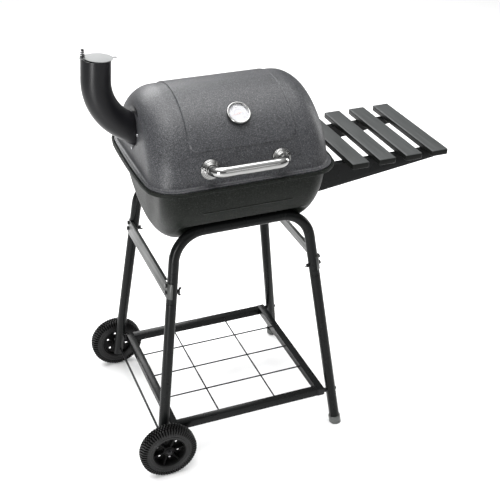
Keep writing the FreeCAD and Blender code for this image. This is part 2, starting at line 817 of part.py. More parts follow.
def make_u_tube(side_y):
    """Bent tube: down both upper legs and across under the bowl."""
    corners = [leg_point(-1, side_y, seam_z), leg_point(-1, side_y, bar_z), leg_point(1, side_y, bar_z),
               leg_point(1, side_y, seam_z)]
    tube = bent_tube(corners, bar_bend, tube_radius).cut(bent_tube(corners, bar_bend, tube_radius - tube_wall))
    screws = [bolt_hole(p, d, bar_screw_length) for p, d in bar_screw_seats() if d.y == side_y]
    return drill(tube, brace_holes() + screws)


def make_leg(side_x, side_y):
    """Lower leg with a reduced neck that plugs into the U tube."""
    neck_radius = tube_radius - tube_wall - 0.1
    neck_bore = neck_radius - tube_wall
    along = (leg_point(side_x, side_y, 1) - leg_point(side_x, side_y, 0)).normalize()
    seam = leg_point(side_x, side_y, seam_z)
    foot = leg_point(side_x, side_y, -20)
    low = wheel_leg_end if side_x < 0 else cap_floor
    pieces = [
        pipe_run(foot, seam, tube_radius, tube_radius - tube_wall),
        pipe_run(seam - along * 10, seam, tube_radius, neck_bore),
        pipe_run(seam - along * 10, seam + along * neck_length, neck_radius, neck_bore),
    ]
    leg = fuse(pieces)
    leg = leg.cut(box((-400, 400), (-400, 400), (-60, low)))
    holes = brace_holes() + [axle_hole()] + shelf_bolt_holes()
    return drill(leg, holes)


def make_foot_caps():
    """Plastic caps on the two feet that have no wheel, cut level with the ground."""
    caps = []
    for side_y in (-1, 1):
        along = (leg_point(1, side_y, 1) - leg_point(1, side_y, 0)).normalize()
        foot = leg_point(1, side_y, 0)
        cap = rod(foot - along * 8, foot + along * cap_height, cap_radius)
        leg = rod(foot, foot + along * 60, tube_radius)
        leg = leg.cut(box((-400, 400), (-400, 400), (-60, cap_floor)))
        cap = cap.cut(leg).cut(box((-400, 400), (-400, 400), (-60, 0)))
        caps.append(cap)
    return group(caps)


# ---- Shelf ----
def shelf_bolt_seats():
    """Bolts through each leg and the end of the shelf's side rail, heads on the outside."""
    z = shelf_top - rail / 2
    seats = []
    for side_x in (-1, 1):
        for side_y in (-1, 1):
            leg = leg_point(side_x, side_y, z)
            seats.append((V(leg.x + side_x * (tube_radius + shelf_seat), leg.y, z), V(-side_x, 0, 0)))
    return seats


def shelf_grip():
    leg = leg_point(1, 1, shelf_top - rail / 2)
    return leg.x + tube_radius + shelf_seat - (shelf_half_x - rail)


def shelf_bolt_holes():
    return [bolt_hole(p, d, shelf_grip() + 2) for p, d in shelf_bolt_seats()]


def square_tube(x, y, z, along):
    """Square tube filling a box, open along one axis: 0 for X, 1 for Y."""
    spans = [(x[0] + rail_wall, x[1] - rail_wall), (y[0] + rail_wall, y[1] - rail_wall)]
    spans[along] = (-400, 400)
    return box(x, y, z).cut(box(spans[0], spans[1], (z[0] + rail_wall, z[1] - rail_wall)))


def make_side_rail():
    """Right side rail, full depth of the shelf."""
    x = (shelf_half_x - rail, shelf_half_x)
    tube = square_tube(x, (-shelf_half_y, shelf_half_y), (shelf_top - rail, shelf_top), 1)
    return drill(tube, shelf_bolt_holes())


def make_cross_rail():
    """Front rail, between the side rails."""
    x = (-shelf_half_x + rail, shelf_half_x - rail)
    return square_tube(x, (-shelf_half_y, -shelf_half_y + rail), (shelf_top - rail, shelf_top), 0)


def make_rail_plugs():
    """Plastic end plugs of the side rails."""
    plugs = []
    inset = rail_wall + 0.1
    for side_y in (-1, 1):
        x = (shelf_half_x - rail, shelf_half_x)
        z = (shelf_top - rail, shelf_top)
        inner = (x[0] + inset, x[1] - inset), (z[0] + inset, z[1] - inset)
        cover = box(x, (-shelf_half_y - 2.5, -shelf_half_y), z)
        rounded = [e for e in cover.Edges if abs(e.CenterOfMass.y + shelf_half_y + 2.5) < 0.1]
        cover = cover.makeFillet(2.0, rounded)
        stem = box(inner[0], (-shelf_half_y, -shelf_half_y + 12), inner[1])
        plug = drill(fuse([cover, stem]), shelf_bolt_holes())
        plug = plug if side_y < 0 else mirror_y(plug)
        plugs += [plug, mirror_x(plug)]
    return group(plugs)


def make_shelf_bolts():
    """Screws driven into the inner walls of the side rails."""
    return group([flat_screw(p, d, shelf_grip(), bolt_radius) for p, d in shelf_bolt_seats()])


def make_shelf_spacers():
    """Short sleeves between the side rails and the legs."""
    sleeves = []
    z = shelf_top - rail / 2
    for side_x in (-1, 1):
        for side_y in (-1, 1):
            leg = leg_point(side_x, side_y, z)
            start = V(side_x * shelf_half_x, leg.y, z)
            sleeve = pipe_run(start, V(leg.x, leg.y, z), 6.0, bolt_radius + fit)
            low = leg_point(side_x, side_y, 0)
            high = leg_point(side_x, side_y, 200)
            sleeves.append(sleeve.cut(rod(low, high, tube_radius)))
    return group(sleeves)


def make_shelf_wires():
    """Two wires front to back under three wires across, between the rails."""
    top = shelf_top - wire_radius
    wires = []
    for y in (-wire_y, 0.0, wire_y):
        wires.append(rod(V(-shelf_half_x + rail, y, top), V(shelf_half_x - rail, y, top), wire_radius))
    low = top - 2 * wire_radius
    for x in (-wire_x, wire_x):
        wires.append(rod(V(x, -shelf_half_y + rail, low), V(x, shelf_half_y - rail, low), wire_radius))
    return group(wires)


# ---- Axle and wheels ----
def axle_hole():
    return rod(V(axle_x, -300, axle_z), V(axle_x, 300, axle_z), axle_radius + fit)


def make_axle():
    return rod(V(axle_x, -axle_half, axle_z), V(axle_x, axle_half, axle_z), axle_radius)


def wheel_placement(shape):
    """Move a wheel piece built along +Z, outer side up, to the front end of the axle."""
    turn = FreeCAD.Rotation(X_AXIS, 90)
    shape.Placement = FreeCAD.Placement(V(axle_x, -wheel_inner_y, axle_z), turn).multiply(shape.Placement)
    return shape


def revolve_profile(points):
    """Solid of revolution about Z from (radius, height) points."""
    wire = Part.makePolygon([V(r, 0, z) for r, z in points] + [V(points[0][0], 0, points[0][1])])
    return Part.Face(wire).revolve(V(0, 0, 0), Z_AXIS, 360)


def make_tyre():
    """Front tyre with rounded shoulders and three shallow grooves round the tread."""
    w = wheel_width
    tyre = revolve_profile([(tyre_bore, 1), (tyre_bore + 12, 0), (wheel_radius, 0), (wheel_radius, w),
                            (tyre_bore + 12, w), (tyre_bore, w - 1)])
    shoulders = [e for e in tyre.Edges if e.Length > 2 * math.pi * (wheel_radius - 1)]
    tyre = tyre.makeFillet(6.0, shoulders)
    grooves = []
    for z in (w / 2 - 7, w / 2, w / 2 + 7):
        grooves.append(revolve_profile([(wheel_radius - 2, z - 1), (wheel_radius + 2, z - 1),
                                        (wheel_radius + 2, z + 1), (wheel_radius - 2, z + 1)]))
    return wheel_placement(tyre.cut(Part.makeCompound(grooves)))


def make_rim():
    """Front wheel's moulded rim: hub, dished disc with ribs and a hole in each bay, and a band under the tyre."""
    bore = axle_radius + fit
    hub = revolve_profile([(bore, -2), (13, -2), (15, 12), (14, 26), (bore, 26)])
    disc = revolve_profile([(12, 13), (42, 10), (42, 13), (12, 16)])
    band = revolve_profile([(40.5, 3), (tyre_bore, 3), (tyre_bore, 31), (40.5, 31)])
    ribs = []
    holes = []
    for k in range(rim_ribs):
        angle = rim_turn + 360 * k / rim_ribs
        rib = box((12, 42), (-1.5, 1.5), (12, 26))
        rib.rotate(V(0, 0, 0), Z_AXIS, angle)
        ribs.append(rib)
        turn = math.radians(angle + 180 / rim_ribs)
        centre = V(29 * math.cos(turn), 29 * math.sin(turn), 0)
        holes.append(rod(centre, centre + V(0, 0, 30), 3.5))
    solid = fuse([hub, disc, band] + ribs)
    return wheel_placement(drill(solid, holes))


def make_axle_washers():
    """A washer between each wheel and its leg, and one under each nut."""
    washers = []
    for low, high in ((-2.0 - gap - 1.6, -2.0 - gap), (26.0 + gap, 27.4 + gap)):
        washer = pipe_run(V(0, 0, low), V(0, 0, high), 8.0, axle_radius + fit)
        washer = wheel_placement(washer)
        washers += [washer, mirror_y(washer)]
    return group(washers)


def make_axle_nuts():
    nut = hex_nut(V(0, 0, 27.4 + gap), Z_AXIS, 3.2).cut(rod(V(0, 0, 0), V(0, 0, 60), axle_radius + fit))
    nut = wheel_placement(nut)
    return group([nut, mirror_y(nut)])


# ---- Side table ----
def slat_lows():
    return [slat_first_x + k * slat_pitch for k in range(slat_count)]


def slat_screw_seats():
    low = slat_top - slat_thick
    seats = []
    for x in slat_lows():
        for side in (-1, 1):
            seats.append(V(x + slat_width / 2, side * (bracket_y - 11), low - bracket_sheet))
    return seats


def make_slat(x):
    """Board with rounded edges, screwed from below."""
    board = box((x, x + slat_width), (-slat_half_y, slat_half_y), (slat_top - slat_thick, slat_top))
    board = board.makeFillet(2.5, board.Edges)
    return drill(board, [rod(p, p + V(0, 0, 14), 2 + fit) for p in slat_screw_seats()])


def make_bracket():
    """Front table bracket: a tapered plate, folded over at the top, with a pad against the bowl."""
    top = slat_top - slat_thick
    end_x = slat_lows()[-1] + slat_width - 12
    outline = Part.makePolygon([V(200, -bracket_y, bracket_root_z), V(end_x, -bracket_y, bracket_tip_z),
                                V(end_x, -bracket_y, top), V(200, -bracket_y, top),
                                V(200, -bracket_y, bracket_root_z)])
    plate = Part.Face(outline).extrude(V(0, bracket_sheet, 0))
    fold = box((200, end_x), (-bracket_y, -bracket_y + bracket_flange), (top - bracket_sheet, top))
    pad = box((200, 213.5), (-bracket_y, -bracket_y + 24), (bracket_root_z + 20, top))
    bracket = fuse([plate, fold, pad]).cut(bowl_outer)
    holes = [bolt_hole(p, d, 14) for p, d in bracket_bolt_seats()]
    holes += [rod(p - V(0, 0, 3), p + V(0, 0, 6), 2 + fit) for p in slat_screw_seats()]
    return drill(bracket, holes)


def make_bracket_bolts():
    bolts = []
    for seat, direction in bracket_bolt_seats():
        grip = 213.6 - seat.x
        bolts.append(bolt(seat, direction, grip))
    return group(bolts)


def make_slat_screws():
    screws = []
    for p in slat_screw_seats():
        head = rod(p - V(0, 0, 2.2), p, 4.2)
        screws.append(head.fuse(rod(p, p + V(0, 0, 13), 2)).removeSplitter())
    return group(screws)


# ---- Assembly ----
def all_parts():
    tyre = make_tyre()
    rim = make_rim()
    brace = make_brace()
    side_rail = make_side_rail()
    cross_rail = make_cross_rail()
    bracket = make_bracket()
    parts = {
        "bowl_shell": make_bowl(),
        "bowl_screws": make_bowl_screws(),
        "grate_clips": make_grate_clips(),
        "air_shutter": make_shutter(),
        "shutter_rivet": make_shutter_rivet(),
        "cooking_grate": make_cooking_grate(),
        "charcoal_grate": make_charcoal_grate(),
        "lid_shell": make_lid(),
        "lid_handle": make_handle(),
        "handle_rosettes": make_rosettes(),
        "handle_screws": make_handle_screws(),
        "thermometer_case": make_dial_case(),
        "thermometer_nut": make_dial_nut(),
        "thermometer_dial": make_dial_face(),
        "thermometer_glass": make_dial_glass(),
        "thermometer_needle": make_needle(),
        "chimney_elbow": make_chimney(),
        "chimney_screws": make_chimney_screws(),
        "chimney_damper": make_damper(),
        "damper_bolt": make_damper_bolt(),
        "damper_spring": make_damper_spring(),
        "bowl_hinges": make_bowl_hinges(),
        "lid_hinges": make_lid_hinges(),
        "lid_hinge_screws": make_hinge_screws(),
        "hinge_pins": make_hinge_pins(),
        "u_tube_front": make_u_tube(-1),
        "u_tube_rear": make_u_tube(1),
        "leg_front_left": make_leg(-1, -1),
        "leg_front_right": make_leg(1, -1),
        "leg_rear_left": make_leg(-1, 1),
        "leg_rear_right": make_leg(1, 1),
        "foot_caps": make_foot_caps(),
        "brace_right": brace,
        "brace_left": mirror_x(brace),
        "brace_bolts": make_brace_bolts(),
        "wing_nuts": make_wing_nuts(),
        "shelf_rail_right": side_rail,
        "shelf_rail_left": mirror_x(side_rail),
        "shelf_rail_front": cross_rail,
        "shelf_rail_rear": mirror_y(cross_rail),
        "rail_plugs": make_rail_plugs(),
        "shelf_spacers": make_shelf_spacers(),
        "shelf_bolts": make_shelf_bolts(),
        "shelf_wires": make_shelf_wires(),
        "axle_rod": make_axle(),
        "axle_washers": make_axle_washers(),
        "axle_nuts": make_axle_nuts(),
        "tyre_front": tyre,
        "tyre_rear": mirror_y(tyre),
        "wheel_rim_front": rim,
        "wheel_rim_rear": mirror_y(rim),
        "table_bracket_front": bracket,
        "table_bracket_rear": mirror_y(bracket),
        "bracket_bolts": make_bracket_bolts(),
        "slat_screws": make_slat_screws(),
    }
    for number, x in enumerate(slat_lows(), 1):
        parts["table_slat_%d" % number] = make_slat(x)
    return parts


def export_parts():
    os.makedirs("parts", exist_ok=True)
    for name, shape in all_parts().items():
        shape.translate(V(body_x, 0, 0))
        shape.exportStep("parts/%s.step" % name)


if __name__ == "__main__":
    export_parts()
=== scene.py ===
"""Looks for the charcoal barrel grill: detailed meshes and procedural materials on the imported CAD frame.

Lengths inside the mesh functions are millimetres about the centre of the bowl on the ground, as in the CAD source;
to_frame() turns them into metres in the row frame.
"""

import math

import bmesh
import bpy
from mathutils import Matrix, Vector


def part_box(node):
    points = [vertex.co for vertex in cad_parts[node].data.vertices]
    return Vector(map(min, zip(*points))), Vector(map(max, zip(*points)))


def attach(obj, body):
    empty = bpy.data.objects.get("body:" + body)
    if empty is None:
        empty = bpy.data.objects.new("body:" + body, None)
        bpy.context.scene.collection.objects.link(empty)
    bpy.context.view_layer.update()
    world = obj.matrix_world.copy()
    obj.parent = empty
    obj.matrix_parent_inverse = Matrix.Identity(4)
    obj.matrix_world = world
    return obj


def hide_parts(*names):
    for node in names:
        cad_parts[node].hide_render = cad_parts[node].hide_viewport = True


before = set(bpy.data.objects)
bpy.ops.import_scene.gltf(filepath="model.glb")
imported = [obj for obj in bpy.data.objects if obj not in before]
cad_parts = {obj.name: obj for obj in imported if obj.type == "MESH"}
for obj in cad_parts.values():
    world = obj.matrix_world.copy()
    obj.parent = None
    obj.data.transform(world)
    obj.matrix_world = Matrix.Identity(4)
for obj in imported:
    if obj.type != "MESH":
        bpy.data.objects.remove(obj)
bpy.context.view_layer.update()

lid_low, lid_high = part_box("lid_shell")
CENTRE_X = (lid_low.x + lid_high.x) / 2
MM = 0.001
MERGE_GAP = 2e-6          # metres within which doubled points are merged
SHARP_ANGLE = math.radians(38)
EDGE_BEVEL = 0.4          # rounding of the CAD nodes' edges
PATCH_SCALE = 9.0         # broad patches of gloss, per metre


def to_frame(p):
    return Vector((p[0] * MM + CENTRE_X, p[1] * MM, p[2] * MM))


def circle(count):
    """Evenly spaced angles of a full turn."""
    return [2 * math.pi * k / count for k in range(count)]


def add_object(name, data):
    thing = bpy.data.objects.new(name, data)
    bpy.context.scene.collection.objects.link(thing)
    return thing


# ---- Materials ----
def new_material(name):
    material = bpy.data.materials.new(name)
    material.use_nodes = True
    tree = material.node_tree
    return material, tree, tree.nodes["Principled BSDF"]


def add_noise(tree, scale, detail=3.0, rough=0.55):
    """Noise texture in object space, in features per metre."""
    coords = tree.nodes.new("ShaderNodeTexCoord")
    texture = tree.nodes.new("ShaderNodeTexNoise")
    texture.inputs["Scale"].default_value = scale
    texture.inputs["Detail"].default_value = detail
    texture.inputs["Roughness"].default_value = rough
    tree.links.new(coords.outputs["Object"], texture.inputs["Vector"])
    return texture.outputs["Fac"]


def add_grain(tree, stretch, detail):
    """Noise stretched by (x, y, z) scales."""
    coords = tree.nodes.new("ShaderNodeTexCoord")
    mapping = tree.nodes.new("ShaderNodeMapping")
    mapping.inputs["Scale"].default_value = stretch
    texture = tree.nodes.new("ShaderNodeTexNoise")
    texture.inputs["Scale"].default_value = 1.0
    texture.inputs["Detail"].default_value = detail
    tree.links.new(coords.outputs["Object"], mapping.inputs["Vector"])
    tree.links.new(mapping.outputs["Vector"], texture.inputs["Vector"])
    return texture.outputs["Fac"]


def add_ramp(tree, source, stops):
    """Colour ramp from (position, grey or colour) stops."""
    ramp = tree.nodes.new("ShaderNodeValToRGB")
    elements = ramp.color_ramp.elements
    while len(elements) < len(stops):
        elements.new(0.5)
    for element, (position, value) in zip(elements, stops):
        colour = value if isinstance(value, tuple) else (value, value, value)
        element.position = position
        element.color = (*colour, 1)
    tree.links.new(source, ramp.inputs["Fac"])
    return ramp.outputs["Color"]


def add_bumps(tree, shader, layers):
    """Bump chain from (height source, strength, distance in metres) layers."""
    normal = None
    for source, strength, distance in layers:
        bump = tree.nodes.new("ShaderNodeBump")
        bump.inputs["Strength"].default_value = strength
        bump.inputs["Distance"].default_value = distance
        tree.links.new(source, bump.inputs["Height"])
        if normal is not None:
            tree.links.new(normal, bump.inputs["Normal"])
        normal = bump.outputs["Normal"]
    tree.links.new(normal, shader.inputs["Normal"])


def shade(colour, factor):
    return tuple(min(1.0, c * factor) for c in colour)


def coated(name, colour, spread=0.15, grain=900.0, rough=(0.35, 0.5), bump=0.12, metallic=0.0, specular=0.5):
    """Painted, plated or moulded surface: fine grain in colour, gloss and height, and broad uneven patches of gloss."""
    material, tree, shader = new_material(name)
    fine = add_noise(tree, grain, 2.0)
    broad = add_noise(tree, PATCH_SCALE, 4.0)
    stops = [(0.32, shade(colour, 1 - spread)), (0.5, colour), (0.68, shade(colour, 1 + spread))]
    tree.links.new(add_ramp(tree, fine, stops), shader.inputs["Base Color"])
    tree.links.new(add_ramp(tree, broad, [(0.3, rough[0]), (0.7, rough[1])]), shader.inputs["Roughness"])
    add_bumps(tree, shader, [(fine, bump, 0.0003), (broad, 0.03, 0.002)])
    shader.inputs["Metallic"].default_value = metallic
    shader.inputs["Specular IOR Level"].default_value = specular
    return material


def scratched(name, colour, rough, stretch):
    """Dull pale plate with fine scratches along one direction; on the damper its pale grey is a painted reflection
    standing in for shiny steel.
    """
    material, tree, shader = new_material(name)
    scratches = add_grain(tree, stretch, 3.0)
    stops = [(0.3, shade(colour, 0.82)), (0.7, colour)]
    tree.links.new(add_ramp(tree, scratches, stops), shader.inputs["Base Color"])
    tree.links.new(add_ramp(tree, scratches, [(0.3, rough[0]), (0.7, rough[1])]), shader.inputs["Roughness"])
    add_bumps(tree, shader, [(scratches, 0.08, 0.0002)])
    shader.inputs["Specular IOR Level"].default_value = 0.06
    return material


def speckled_paint(name, tones, gloss):
    """High-heat paint of the bowl or the lid: charcoal ground with fine light and dark flecks and a pebbled surface;
    the bowl's much darker tones are painted shade on the same paint.
    """
    material, tree, shader = new_material(name)
    pebble = add_noise(tree, 360.0, 4.0, 0.7)
    flecks = add_noise(tree, 620.0, 1.0)
    broad = add_noise(tree, 7.0, 4.0)
    ground = add_ramp(tree, pebble, [(0.34, tones[0]), (0.5, tones[1]), (0.66, tones[2])])
    sparkle = add_ramp(tree, flecks, [(0.58, 0.0), (0.72, 1.0)])
    mix = tree.nodes.new("ShaderNodeMix")
    mix.data_type = "RGBA"
    tree.links.new(sparkle, mix.inputs["Factor"])
    tree.links.new(ground, mix.inputs["A"])
    mix.inputs["B"].default_value = (*tones[3], 1)
    tree.links.new(mix.outputs["Result"], shader.inputs["Base Color"])
    tree.links.new(add_ramp(tree, broad, [(0.3, 0.38), (0.7, 0.50)]), shader.inputs["Roughness"])
    add_bumps(tree, shader, [(pebble, 0.45, 0.0008), (broad, 0.05, 0.002)])
    shader.inputs["Metallic"].default_value = 0.0
    shader.inputs["Specular IOR Level"].default_value = gloss
    return material


def painted_board():
    """Painted board: long soft grain under the paint, slightly lighter along the grain."""
    material, tree, shader = new_material("slat_paint")
    grain = add_grain(tree, (260.0, 6.0, 260.0), 4.0)
    fine = add_noise(tree, 1100.0, 2.0)
    stops = [(0.3, (0.030, 0.032, 0.032)), (0.7, (0.052, 0.055, 0.055))]
    tree.links.new(add_ramp(tree, grain, stops), shader.inputs["Base Color"])
    tree.links.new(add_ramp(tree, grain, [(0.3, 0.36), (0.7, 0.5)]), shader.inputs["Roughness"])
    add_bumps(tree, shader, [(grain, 0.10, 0.0004), (fine, 0.10, 0.0002)])
    shader.inputs["Specular IOR Level"].default_value = 0.3
    return material


def clear_glass():
    """Flat clear lens: mostly see-through, with a gloss that grows at grazing angles and faint smears."""
    material, tree, shader = new_material("glass")
    smear = add_noise(tree, 60.0, 4.0)
    tree.links.new(add_ramp(tree, smear, [(0.35, 0.03), (0.75, 0.10)]), shader.inputs["Roughness"])
    shader.inputs["Base Color"].default_value = (1, 1, 1, 1)
    shader.inputs["Transmission Weight"].default_value = 1.0
    shader.inputs["IOR"].default_value = 1.15
    return material


MATERIALS = {
    "grill_paint": speckled_paint("grill_paint", [(0.008, 0.0085, 0.010), (0.026, 0.027, 0.030),
                                                  (0.058, 0.060, 0.064), (0.15, 0.15, 0.16)], 0.40),
    # The bowl's copy of the speckled paint is far darker and less glossy than the lid's: painted shade on the same
    # paint.
    "bowl_paint": speckled_paint("bowl_paint", [(0.002, 0.0025, 0.002), (0.004, 0.005, 0.004),
                                                (0.010, 0.012, 0.010), (0.030, 0.034, 0.030)], 0.08),
    "black_paint": coated("black_paint", (0.004, 0.0045, 0.0045), rough=(0.22, 0.32), bump=0.08, specular=0.12),
    "brace_paint": coated("brace_paint", (0.022, 0.024, 0.022), rough=(0.34, 0.46), bump=0.12),
    "chimney_paint": coated("chimney_paint", (0.004, 0.004, 0.005), rough=(0.30, 0.38), bump=0.06, specular=0.20),
    # Pale grey on a non-metallic surface: a painted reflection in place of the damper steel reflecting bright
    # surroundings.
    "damper_steel": scratched("damper_steel", (0.24, 0.245, 0.245), (0.50, 0.65), (70.0, 900.0, 900.0)),
    "chrome": coated("chrome", (0.34, 0.34, 0.335), spread=0.03, rough=(0.08, 0.16), bump=0.01, metallic=1.0),
    "zinc": coated("zinc", (0.60, 0.61, 0.62), spread=0.10, rough=(0.25, 0.40), bump=0.08, metallic=1.0),
    "black_zinc": coated("black_zinc", (0.012, 0.012, 0.013), rough=(0.28, 0.40), bump=0.08, metallic=0.3,
                         specular=0.3),
    "grate_chrome": coated("grate_chrome", (0.66, 0.66, 0.66), spread=0.06, rough=(0.16, 0.30), bump=0.05,
                           metallic=1.0),
    "grate_black": coated("grate_black", (0.018, 0.018, 0.018), rough=(0.25, 0.40), bump=0.2),
    "dial_white": coated("dial_white", (0.66, 0.66, 0.68), spread=0.02, rough=(0.30, 0.40), bump=0.02),
    "glass": clear_glass(),
    "needle_red": coated("needle_red", (0.74, 0.60, 0.60), rough=(0.30, 0.40), bump=0.03),
    "cap_plastic": coated("cap_plastic", (0.008, 0.008, 0.009), rough=(0.42, 0.55), bump=0.15, specular=0.2),
    "foot_plastic": coated("foot_plastic", (0.070, 0.074, 0.071), spread=0.25, rough=(0.20, 0.34), bump=0.10,
                           grain=500.0),
    "wire_black": coated("wire_black", (0.005, 0.005, 0.006), rough=(0.30, 0.45), bump=0.10, specular=0.12),
    "tyre": coated("tyre", (0.006, 0.006, 0.006), specular=0.26, spread=0.25, rough=(0.34, 0.46), bump=0.25,
                   grain=700.0),
    # Darker, duller copy of the tyre rubber for the bottoms of the tread: painted shade in the grooves.
    "tyre_groove": coated("tyre_groove", (0.0015, 0.0015, 0.0015), specular=0.02, rough=(0.6, 0.8)),
    # Much darker copy of the slat paint for the slats' side faces: a painted shade where less light falls on the same
    # paint.
    "slat_side": coated("slat_side", (0.006, 0.0065, 0.006), specular=0.10, rough=(0.30, 0.42), bump=0.08),
    "wheel_plastic": coated("wheel_plastic", (0.003, 0.003, 0.003), rough=(0.26, 0.36), bump=0.08, specular=0.10),
    "slat_paint": painted_board(),
    "dial_ink": coated("dial_ink", (0.46, 0.46, 0.48), rough=(0.40, 0.50), bump=0.02),
    "dial_band": coated("dial_band", (0.56, 0.56, 0.59), rough=(0.40, 0.50), bump=0.02),
}


# ---- Mesh helpers ----
def add_piece(name, points, faces, material, body, replaced=(), slot=None):
    """Object from points in millimetres; it rides on a CAD body and stands for the replaced nodes."""
    mesh = bpy.data.meshes.new(name)
    mesh.from_pydata([to_frame(p) for p in points], [], faces)
    piece = add_object(name, mesh)
    tidy_mesh(mesh)
    mesh.materials.append(MATERIALS[material])
    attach(piece, body)
    if replaced:
        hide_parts(*replaced)
    return piece


def paint_where(piece, material, chosen):
    """Give a second material to the faces chosen by their centre, in millimetres, and their normal."""
    piece.data.materials.append(MATERIALS[material])
    for polygon in piece.data.polygons:
        centre = polygon.center
        local = Vector(((centre.x - CENTRE_X) / MM, centre.y / MM, centre.z / MM))
        if chosen(local, polygon.normal):
            polygon.material_index = 1


def tidy_mesh(mesh):
    """Merge doubled points, point the faces outwards and mark the edges that stay sharp."""
    bm = bmesh.new()
    bm.from_mesh(mesh)
    bmesh.ops.remove_doubles(bm, verts=bm.verts, dist=MERGE_GAP)
    bmesh.ops.recalc_face_normals(bm, faces=bm.faces)
    for face in bm.faces:
        face.smooth = True
    for edge in bm.edges:
        edge.smooth = edge.calc_face_angle(0.0) < SHARP_ANGLE
    bm.to_mesh(mesh)
    bm.free()


def loft(rings, closed=False):
    """Faces between rings of equal length, given as (points, faces)."""
    count = len(rings[0])
    points = [p for ring in rings for p in ring]
    faces = []
    steps = len(rings) if closed else len(rings) - 1
    for i in range(steps):
        a = i * count
        b = (i + 1) % len(rings) * count
        for j in range(count):
            k = (j + 1) % count
            faces.append((a + j, a + k, b + k, b + j))
    if not closed:
        faces.append(tuple(range(count)))
        faces.append(tuple(range(len(points) - count, len(points)))[::-1])
    return points, faces


def merged(parts):
    """One (points, faces) from several."""
    points, faces = [], []
    for some_points, some_faces in parts:
        shift = len(points)
        points += some_points
        faces += [tuple(i + shift for i in face) for face in some_faces]
    return points, faces


def softened(profile, radius, closed=False, steps=4):
    """Polyline with its corners rounded by quadratic curves; each corner may carry its own radius as a third value."""
    points = []
    count = len(profile)
    for i, corner in enumerate(profile):
        here = Vector(corner[:2])
        if not closed and i in (0, count - 1):
            points.append(tuple(here))
            continue
        before = Vector(profile[i - 1][:2])
        after = Vector(profile[(i + 1) % count][:2])
        reach = corner[2] if len(corner) > 2 else radius
        back = min(reach, (here - before).length * 0.45)
        ahead = min(reach, (after - here).length * 0.45)
        first = here + (before - here).normalized() * back
        last = here + (after - here).normalized() * ahead
        for k in range(steps + 1):
            t = k / steps
            points.append(tuple(first * (1 - t) ** 2 + here * 2 * t * (1 - t) + last * t ** 2))
    return points


def axes_of(direction):
    """Two unit vectors square to a direction."""
    d = Vector(direction).normalized()
    helper = Vector((0, 0, 1)) if abs(d.z) < 0.9 else Vector((1, 0, 0))
    side = helper.cross(d).normalized()
    return side, d.cross(side)


def lathe(profile, centre, axis, segments=64):
    """Solid of revolution from a closed loop of (radius, height) points."""
    side, up = axes_of(axis)
    d = Vector(axis).normalized()
    rings = []
    for turn in circle(segments):
        out = side * math.cos(turn) + up * math.sin(turn)
        rings.append([Vector(centre) + out * r + d * h for r, h in profile])
    return loft(rings, closed=True)


def arc_route(corners, bend, turn_step=math.radians(3)):
    """Points along straight runs joined by tangent arcs."""
    route = [Vector(corners[0])]
    for before, corner, after in zip(corners, corners[1:], corners[2:]):
        corner = Vector(corner)
        incoming = (corner - Vector(before)).normalized()
        outgoing = (Vector(after) - corner).normalized()
        turn = incoming.angle(outgoing)
        setback = bend * math.tan(turn / 2)
        start = corner - incoming * setback
        inward = (outgoing - incoming).normalized()
        centre = corner + inward * (bend / math.cos(turn / 2))
        axis = incoming.cross(outgoing).normalized()
        steps = max(2, round(turn / turn_step))
        for k in range(steps + 1):
            spin = Matrix.Rotation(turn * k / steps, 3, axis)
            route.append(centre + spin @ (start - centre))
    route.append(Vector(corners[-1]))
    return route


class Route:
    """Flat route that gives a point and a cross-section frame at any distance along it."""

    def __init__(self, points, plane):
        self.points = points
        self.plane = Vector(plane).normalized()
        self.marks = [0.0]
        for a, b in zip(points, points[1:]):
            self.marks.append(self.marks[-1] + (b - a).length)
        self.length = self.marks[-1]

    def at(self, distance):
        last = len(self.points) - 2
        i = 0
        while i < last and self.marks[i + 1] < distance:
            i += 1
        run = self.points[i + 1] - self.points[i]
        share = (distance - self.marks[i]) / run.length
        here = self.points[i] + run * share
        before = self.points[max(0, i - 1)]
        after = self.points[min(len(self.points) - 1, i + 2)]
        first = (self.points[i + 1] - before).normalized()
        second = (after - self.points[i]).normalized()
        tangent = first.lerp(second, min(1.0, max(0.0, share))).normalized()
        return here, tangent, self.plane.cross(tangent)

    def ring(self, distance, radius, segments):
        here, _, side = self.at(distance)
        return [here + (side * math.cos(t) + self.plane * math.sin(t)) * radius for t in circle(segments)]

    def stations(self, start, end):
        """Distances of the route's own points between two distances."""
        return [m for m in self.marks if start < m < end]


def tube_rings(route, radius, low_end, high_end, segments=40):
    """Rings of a bar along a route. The ends are (distance, radius) lists added before and after the plain run."""
    rings = [route.ring(s, r, segments) for s, r in low_end]
    for s in route.stations(low_end[-1][0], high_end[0][0]):
        rings.append(route.ring(s, radius, segments))
    rings += [route.ring(s, r, segments) for s, r in high_end]
    return rings


def rounded_box(low, high, radius, steps=3):
    """Box with rounded edges as (points, faces)."""
    bm = bmesh.new()
    bmesh.ops.create_cube(bm, size=1.0)
    low, high = Vector(low), Vector(high)
    for vert in bm.verts:
        vert.co = Vector([a + (c + 0.5) * (b - a) for a, b, c in zip(low, high, vert.co)])
    bmesh.ops.bevel(bm, geom=bm.edges[:], offset=radius, segments=steps, profile=0.5, affect="EDGES")
    bm.verts.index_update()
    points = [v.co.copy() for v in bm.verts]
    faces = [tuple(v.index for v in f.verts) for f in bm.faces]
    bm.free()
    return points, faces


